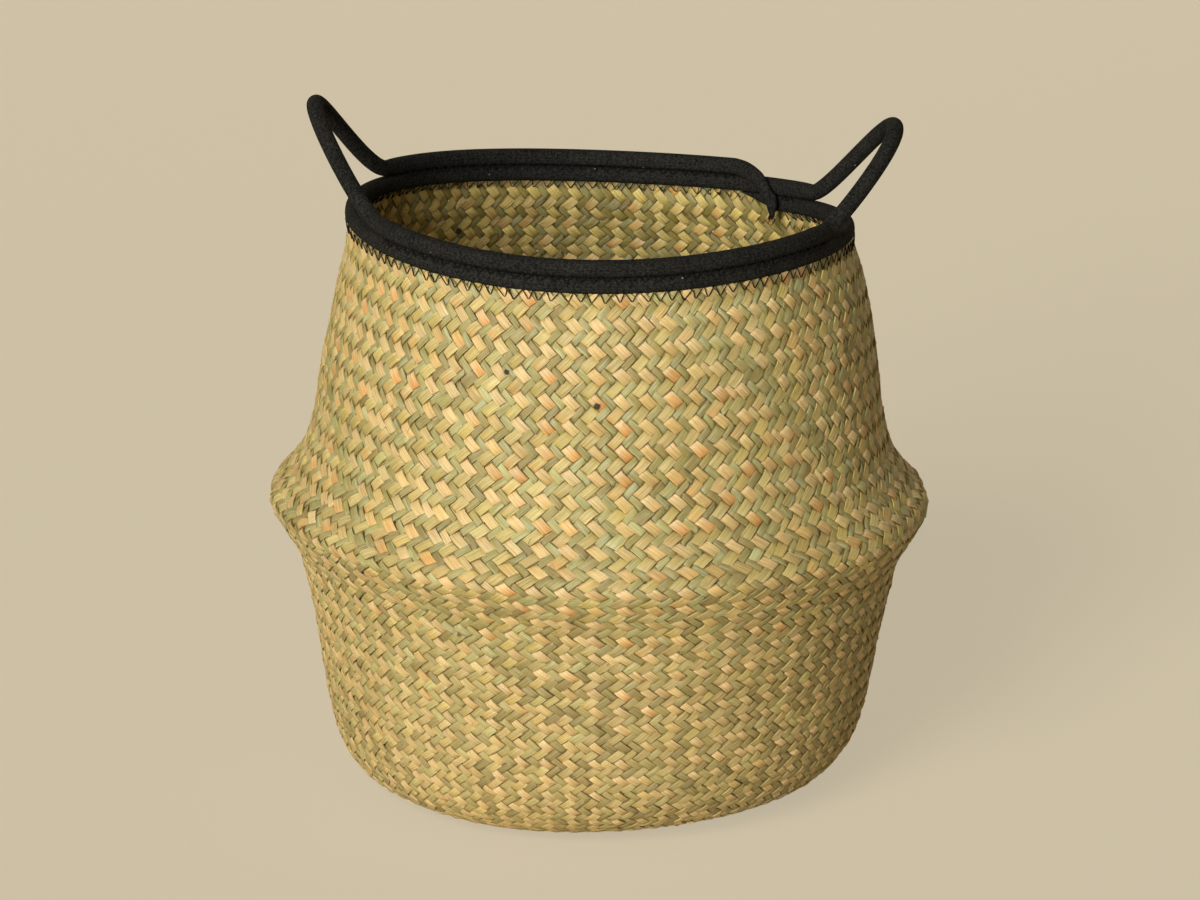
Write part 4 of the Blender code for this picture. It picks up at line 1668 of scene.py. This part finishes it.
class StalkFields:
    """What the strips' colours depend on: places stored on them, and chances drawn from those places."""

    def __init__(self, graph: Graph, pattern: StrawPattern) -> None:
        """Read the places and draw the chances.

        Args:
            graph: The material's graph.
            pattern: How the colours vary.
        """
        self.strip = attribute(graph, "strip")
        self.warm = attribute(graph, "warm")
        self.edge = graph.math("ABSOLUTE", attribute(graph, "across"))
        uv = graph.call("ShaderNodeUVMap", {}, "UV", uv_map="strip_uv")
        self.along, self.across, _ = graph.parts(uv)
        self.place = graph.place()
        self.x, self.y, self.height = graph.parts(self.place)
        self.reach = graph.reach(self.x, self.y)
        self.angle = graph.bearing(self.x, self.y)
        floats = attribute(graph, "row") / 2.0 + pattern.float_offset
        number = graph.math("FLOOR", floats)
        self.climb = graph.modulo(floats, 1.0)
        self.own = graph.chance(graph.vector(self.strip, 3.0, self.warm))
        self.patch = graph.chance(graph.vector(self.strip, number, 5.0 + self.warm))
        self.tint = graph.chance(graph.vector(self.strip, number, 8.0 + self.warm))
        strip_pace, length_pace = pattern.drift_paces
        drift_place = graph.vector(self.strip * strip_pace, self.along * length_pace, self.warm)
        self.drift = graph.noise(drift_place, 1.0, 2.0)
        facing = graph.parts(graph.call("ShaderNodeNewGeometry", {}, "Normal"))
        outward = (facing[0] * self.x + facing[1] * self.y) / self.reach
        # Inner faces, where the strips get painted shade and painted light for the inside of the basket.
        self.indoors = 1.0 - graph.ease(outward, *pattern.indoor_zone)
        self.fresh = graph.ease(self.height + (self.patch - 0.5) * 0.08, *pattern.fresh_zone)
        self.fresh = self.fresh * pattern.fresh_share
        changed = graph.below(pattern.unchanged_share, self.own)
        self.sage_share = graph.math("ABSOLUTE", graph.modulo(self.strip, 2.0) - changed)


class Seagrass(Finish):
    """Dry woven strips: straw and sage stalks side by side, lined along their length, with painted shade at
    their edges and where they dive under one another.
    """

    def __init__(
        self,
        lines_tree: bpy.types.NodeTree,
        colours: StrawColours = StrawColours(),
        pattern: StrawPattern = StrawPattern(),
    ) -> None:
        """Build the strips' colour, roughness and fibre relief.

        Args:
            lines_tree: Shader group of fine lines.
            colours: The stalks' colours.
            pattern: How they vary.
        """
        super().__init__("seagrass_strips", 0.50, 0.70)
        graph = self.graph
        self.colours = colours
        self.pattern = pattern
        stalks = StalkFields(graph, pattern)
        colour = graph.blend(stalks.sage_share, self._straw(stalks), self._sage(stalks))
        places = {"Along": stalks.along, "Across": stalks.across}
        ridges = self.lines(lines_tree, Offset=stalks.strip * 11.0, Lines=pattern.ridges, **places)
        hairs = self.lines(
            lines_tree, Offset=stalks.strip, Lines=pattern.hairs, Length_Scale=pattern.hair_pace, **places
        )
        # The stalks' ridges, hairs and random tone per float, plus painted light: each float is drawn lighter
        # toward its upper end, as if that end faced the light.
        shade = (ridges - 0.5) * 0.36 + (hairs - 0.5) * 0.34 + (stalks.patch - 0.5) * 0.24
        shade = shade + stalks.climb * 0.06 + 1.00
        colour = graph.scaled(colour, graph.most(shade, pattern.darkest_shade))
        # Painted shade: the dark gap colour at the strips' edges and where one dives under another.
        colour = graph.blend(self._shut(stalks), colour, colours.gap)
        self.set("Base Color", self._spotted(stalks, colour))
        self.set("Roughness", 0.54 - ridges * 0.16)
        cupped = 1.0 - stalks.edge * stalks.edge
        height = ridges * 0.5 + hairs * 0.25 + cupped * (stalks.sage_share * 0.6 + 0.25)
        self.bump(height, pattern.relief)

    def _straw(self, stalks: StalkFields) -> Field:
        """Colour of the straw stalks: khaki to peach, paler low down, with orange and pink floats. The orange
        is partly painted shade toward a float's lower end, the pink partly a painted highlight toward its
        upper end, and the inner faces get painted light.
        """
        graph, colours, pattern = self.graph, self.colours, self.pattern
        warm, tint, fresh = stalks.warm, stalks.tint, stalks.fresh
        pick = graph.modulo(stalks.own * 5.0 + stalks.patch * 0.42 + stalks.drift * 0.4, 1.0)
        warmth = warm * 0.80 + 0.10 + (tint - 0.5) * 0.5
        high = graph.blend(warmth, graph.ramp(pick, colours.khaki), graph.ramp(pick, colours.peach))
        low = graph.blend(warmth, colours.khaki_low, colours.peach_low)
        straw = graph.blend(fresh + 0.45, low, high)
        # Some floats turn orange at random; the orange grows toward each float's lower end, where it is
        # painted shade.
        burnt_and_shaded = graph.ease(tint, *pattern.burnt_zone) * graph.ease(1.0 - stalks.climb, 0.0, 1.1)
        burnt_and_shaded = burnt_and_shaded * (warm * 0.6 + 0.4)
        straw = graph.blend(burnt_and_shaded * (fresh * 1.2 + 0.22), straw, colours.sunburnt_and_painted_shade)
        # Some floats blush pink at random; the pink grows toward each float's upper end as a painted
        # highlight.
        rosy_and_highlit = graph.ease(graph.modulo(tint * 3.0, 1.0), *pattern.rosy_zone)
        rosy_and_highlit = rosy_and_highlit * graph.ease(stalks.climb, 0.2, 1.0)
        straw = graph.blend(rosy_and_highlit * (warm * 0.6 + 0.2), straw, colours.blush_and_painted_highlight)
        # Painted light: straw on the inner faces turns a brighter, richer yellow, standing for the light that
        # falls inside the basket.
        return graph.blend(stalks.indoors * (0.70 - tint * 0.50), straw, colours.painted_inside_light)

    def _sage(self, stalks: StalkFields) -> Field:
        """Colour of the sage stalks: greener high up, paler in clouds, with pale grey-green and brown floats.
        Paler toward the lit left side is painted light, the pale grey-green streaks are partly a painted
        sheen, and the darker inner faces are painted shade.
        """
        graph, colours, pattern = self.graph, self.colours, self.pattern
        patch, fresh = stalks.patch, stalks.fresh
        # Pale clouds at random, plus painted light and shade: the sage turns paler toward the lit left side
        # and darker olive toward the right.
        clouds = graph.noise(stalks.place, pattern.bleached_scale, 1.0)
        pale_and_painted_light = clouds + (patch - 0.5) * 0.36 - stalks.x * pattern.painted_light_side
        pale_and_painted_light = graph.ease(pale_and_painted_light, *pattern.bleached_zone)
        low = graph.blend(pale_and_painted_light, colours.sage_low, colours.sage_pale)
        pick = graph.modulo(stalks.own * 7.0 + patch * 0.5 + stalks.drift * 0.4, 1.0)
        sage = graph.blend(fresh + 0.30, low, graph.ramp(pick, colours.sage))
        # Pale grey-green streaks along the sage, partly the stalks' own tone and partly a painted sheen.
        strip_pace, length_pace, width_pace = pattern.silver_paces
        silver_place = graph.vector(
            stalks.strip * strip_pace, stalks.along * length_pace, stalks.across * width_pace
        )
        silvery_sheen = graph.ease(graph.noise(silver_place, 1.0), *pattern.silver_zone)
        sage = graph.blend(silvery_sheen * (fresh + 0.15), sage, colours.silver_and_painted_sheen)
        sage = graph.scaled(sage, (stalks.tint - 0.5) * 0.20 + 1.0)
        brown = graph.ease(graph.modulo(patch * 5.0, 1.0), *pattern.taupe_zone)
        sage = graph.blend(brown * 0.7, sage, colours.taupe)
        # Painted shade: sage on the inner faces is darkened, standing for the shade inside the basket.
        return graph.blend(stalks.indoors * patch * 0.90, sage, colours.painted_inside_shade)

    def _shut(self, stalks: StalkFields) -> Field:
        """How far the light is shut out: at a strip's edges and where it dives under another."""
        graph, pattern = self.graph, self.pattern
        diving = graph.ease(graph.math("ABSOLUTE", stalks.climb - 0.5), *pattern.dive_zone)
        # The painted edge shade is deeper on the inner faces.
        edges = graph.ease(stalks.edge, *pattern.edge_zone) * (stalks.indoors * 0.3 + 0.50)
        return graph.least(edges + diving * 0.75, pattern.darkest_gap)

    def _spotted(self, stalks: StalkFields, colour: Field) -> Field:
        """The colour with its few dark spots."""
        graph, pattern = self.graph, self.pattern
        ragged = graph.noise(stalks.place, pattern.spot_scale, 2.0)
        for spot in self.colours.spots:
            aside = (stalks.angle - spot.angle) * stalks.reach
            above = stalks.height - spot.height
            away = graph.reach(aside, above) + (ragged * 0.8 - 0.4) * spot.reach
            inside = 1.0 - graph.ease(away, spot.reach * pattern.spot_core, spot.reach)
            colour = graph.blend(inside * pattern.spot_share, colour, spot.colour)
        return colour


@dataclass(frozen=True)
class Knit:
    """Knitted cotton: its colours, its stitches, its fuzz and its lint."""

    dark: Colour = srgb(13, 13, 12)
    worn: Colour = srgb(60, 59, 54)
    lint: Colour = srgb(178, 175, 168)
    columns: float = 22.0
    stitch: float = 0.0014
    stitch_slant: float = 0.8
    fuzz_scale: float = 950.0
    cloud_scale: float = 110.0
    worn_zone: tuple = (0.62, 1.34)
    lint_scale: float = 420.0
    clean_share: float = 0.990
    lint_reach: float = 0.16
    relief: float = 0.00050


class Cotton(Finish):
    """Black knitted cotton cord, dull, with a fine fuzz, some dust and a few specks of lint."""

    def __init__(self, knit: Knit = Knit()) -> None:
        """Build the knit, its dust and its lint."""
        super().__init__("black_cotton_cord", 0.92, 0.12)
        graph = self.graph
        uv = graph.call("ShaderNodeUVMap", {}, "UV", uv_map="cord_uv")
        along, around, _ = graph.parts(uv)
        column = around * knit.columns
        stitches = graph.swing(along / knit.stitch + graph.swing(column) * knit.stitch_slant)
        place = graph.place()
        fuzz = graph.noise(place, knit.fuzz_scale, 3.0, 0.75)
        cloud = graph.noise(place, knit.cloud_scale, 2.0)
        height = stitches * 0.10 + graph.swing(column * 2.0) * 0.10 + fuzz * 1.5
        share = graph.ease(height + cloud * 0.2, *knit.worn_zone)
        colour = graph.blend(share, knit.dark, knit.worn)
        cells = graph.node("ShaderNodeTexVoronoi")
        graph.feed(cells.inputs["Vector"], place)
        graph.feed(cells.inputs["Scale"], knit.lint_scale)
        pick = graph.parts(Field(graph, cells.outputs["Color"]))[0]
        near = graph.below(Field(graph, cells.outputs["Distance"]), knit.lint_reach)
        speck = graph.below(knit.clean_share, pick) * near
        self.set("Base Color", graph.blend(speck, colour, knit.lint))
        self.set("Roughness", 0.98 - share * 0.10)
        self.bump(height, knit.relief)


@dataclass(frozen=True)
class Twist:
    """Twisted thread: its colours, the lengths over which it turns and its relief."""

    dark: Colour = srgb(9, 9, 8)
    light: Colour = srgb(26, 25, 22)
    turn: float = 0.0007
    slant: float = 0.0011
    relief: float = 0.00008


class Thread(Finish):
    """Black twisted sewing thread."""

    def __init__(self, twist: Twist = Twist()) -> None:
        """Build the twist."""
        super().__init__("black_sewing_thread", 0.75, 0.2)
        graph = self.graph
        along = attribute(graph, "along")
        x, y, _ = graph.parts(graph.place())
        turned = graph.swing(along / twist.turn + (x + y) / twist.slant)
        self.set("Base Color", graph.blend(turned, twist.dark, twist.light))
        self.bump(turned, twist.relief)


class Ground(Finish):
    """Seamless warm paper that the basket stands on, shown to the camera at an even tone."""

    CLOUD_SCALE = 3.0
    CLOUD_SHADE = 0.985

    def __init__(self, paper: Colour, tone: Colour, even_share: float) -> None:
        """Build the paper's faint unevenness and its even tone.

        Args:
            paper: Colour that the light falls on.
            tone: Tone that the camera sees.
            even_share: How much of what the camera sees is the even tone.
        """
        super().__init__("studio_paper", 0.9, 0.0)
        graph = self.graph
        share = graph.noise(graph.place(), self.CLOUD_SCALE, 2.0)
        darker = (*(value * self.CLOUD_SHADE for value in paper[:3]), 1.0)
        self.set("Base Color", graph.blend(share, darker, paper))
        glow = graph.node("ShaderNodeEmission")
        glow.inputs["Color"].default_value = tone
        mix = graph.node("ShaderNodeMixShader")
        seen = graph.call("ShaderNodeLightPath", {}, "Is Camera Ray")
        graph.feed(mix.inputs[0], seen * even_share)
        graph.tree.links.new(self.shader.outputs[0], mix.inputs[1])
        graph.tree.links.new(glow.outputs[0], mix.inputs[2])
        graph.tree.links.new(mix.outputs[0], graph.tree.nodes["Material Output"].inputs["Surface"])


# Studio


@dataclass(frozen=True)
class SoftLight:
    """A distant broad light, turned to the left of the camera and raised above the floor."""

    name: str
    turn: float
    rise: float
    spread: float
    power: float
    colour: tuple = (1.0, 0.985, 0.95)

    def build(self) -> None:
        """Hang the light."""
        data = bpy.data.lights.new(self.name, "SUN")
        data.energy = self.power
        data.angle = self.spread
        data.color = self.colour
        lamp = bpy.data.objects.new(self.name, data)
        lamp.rotation_euler = (math.pi / 2.0 - self.rise, 0.0, -self.turn)
        bpy.context.scene.collection.objects.link(lamp)


@dataclass
class Studio:
    """Floor that sweeps up into a backdrop, two broad soft lights and the camera."""

    camera_distance: float = 2.8197
    camera_height: float = 1.00888
    camera_pitch: float = math.radians(16.69)
    focal_length: float = 181.7
    sensor_width: float = 36.0
    floor_reach: float = 6.0
    sweep_radius: float = 1.2
    sweep_start: float = 2.6
    sweep_steps: int = 16
    wall_height: float = 3.0
    paper: Colour = srgb(208, 194, 164)
    tone: Colour = srgb(229, 216, 189)
    even_share: float = 0.62
    lights: tuple = (
        SoftLight("low_window", math.radians(23), math.radians(12), math.radians(20), 1.62),
        SoftLight("high_window", math.radians(26), math.radians(32), math.radians(24), 1.52),
    )
    air_strength: float = 0.07
    air_colour: Colour = (1.0, 0.94, 0.78, 1.0)

    def build(self) -> None:
        """Make the floor, the lights, the world and the camera."""
        self._paper_sweep()
        for light in self.lights:
            light.build()
        world = bpy.data.worlds.new("studio_air")
        world.use_nodes = True
        background = world.node_tree.nodes["Background"]
        background.inputs["Color"].default_value = self.air_colour
        background.inputs["Strength"].default_value = self.air_strength
        bpy.context.scene.world = world
        bpy.context.scene.view_settings.view_transform = "Standard"
        data = bpy.data.cameras.new("camera")
        data.lens = self.focal_length
        data.sensor_width = self.sensor_width
        camera = bpy.data.objects.new("camera", data)
        camera.location = (0.0, -self.camera_distance, self.camera_height)
        camera.rotation_euler = (math.pi / 2.0 - self.camera_pitch, 0.0, 0.0)
        bpy.context.scene.collection.objects.link(camera)
        bpy.context.scene.camera = camera

    def _paper_sweep(self) -> None:
        """Floor and backdrop in one sheet."""
        profile = [(-self.floor_reach, 0.0), (self.sweep_start, 0.0)]
        for step in range(1, self.sweep_steps + 1):
            turn = math.pi / 2.0 * step / self.sweep_steps
            profile.append((
                self.sweep_start + self.sweep_radius * math.sin(turn),
                self.sweep_radius * (1.0 - math.cos(turn)),
            ))
        profile.append((profile[-1][0], self.wall_height))
        points, faces = [], []
        for y, z in profile:
            points += [(-self.floor_reach, y, z), (self.floor_reach, y, z)]
        for index in range(len(profile) - 1):
            low = index * 2
            faces.append((low, low + 1, low + 3, low + 2))
        mesh = bpy.data.meshes.new("studio_paper")
        mesh.from_pydata(points, [], faces)
        mesh.shade_smooth()
        mesh.materials.append(Ground(self.paper, self.tone, self.even_share).material)
        link(mesh, "studio_paper")


def main() -> None:
    """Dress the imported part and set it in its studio."""
    logging.basicConfig(level=logging.INFO, format="%(name)s: %(message)s")
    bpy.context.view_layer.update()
    studio = Studio()
    studio.build()
    rim = Rim()
    lines_tree = fibre_group()
    body = WovenBody(rim)
    body.build(Seagrass(lines_tree))
    cord = SpiralCord(rim)
    cord.build(Cotton())
    Seams(rim, cord, body).build(Thread())


if __name__ == "__main__":
    main()
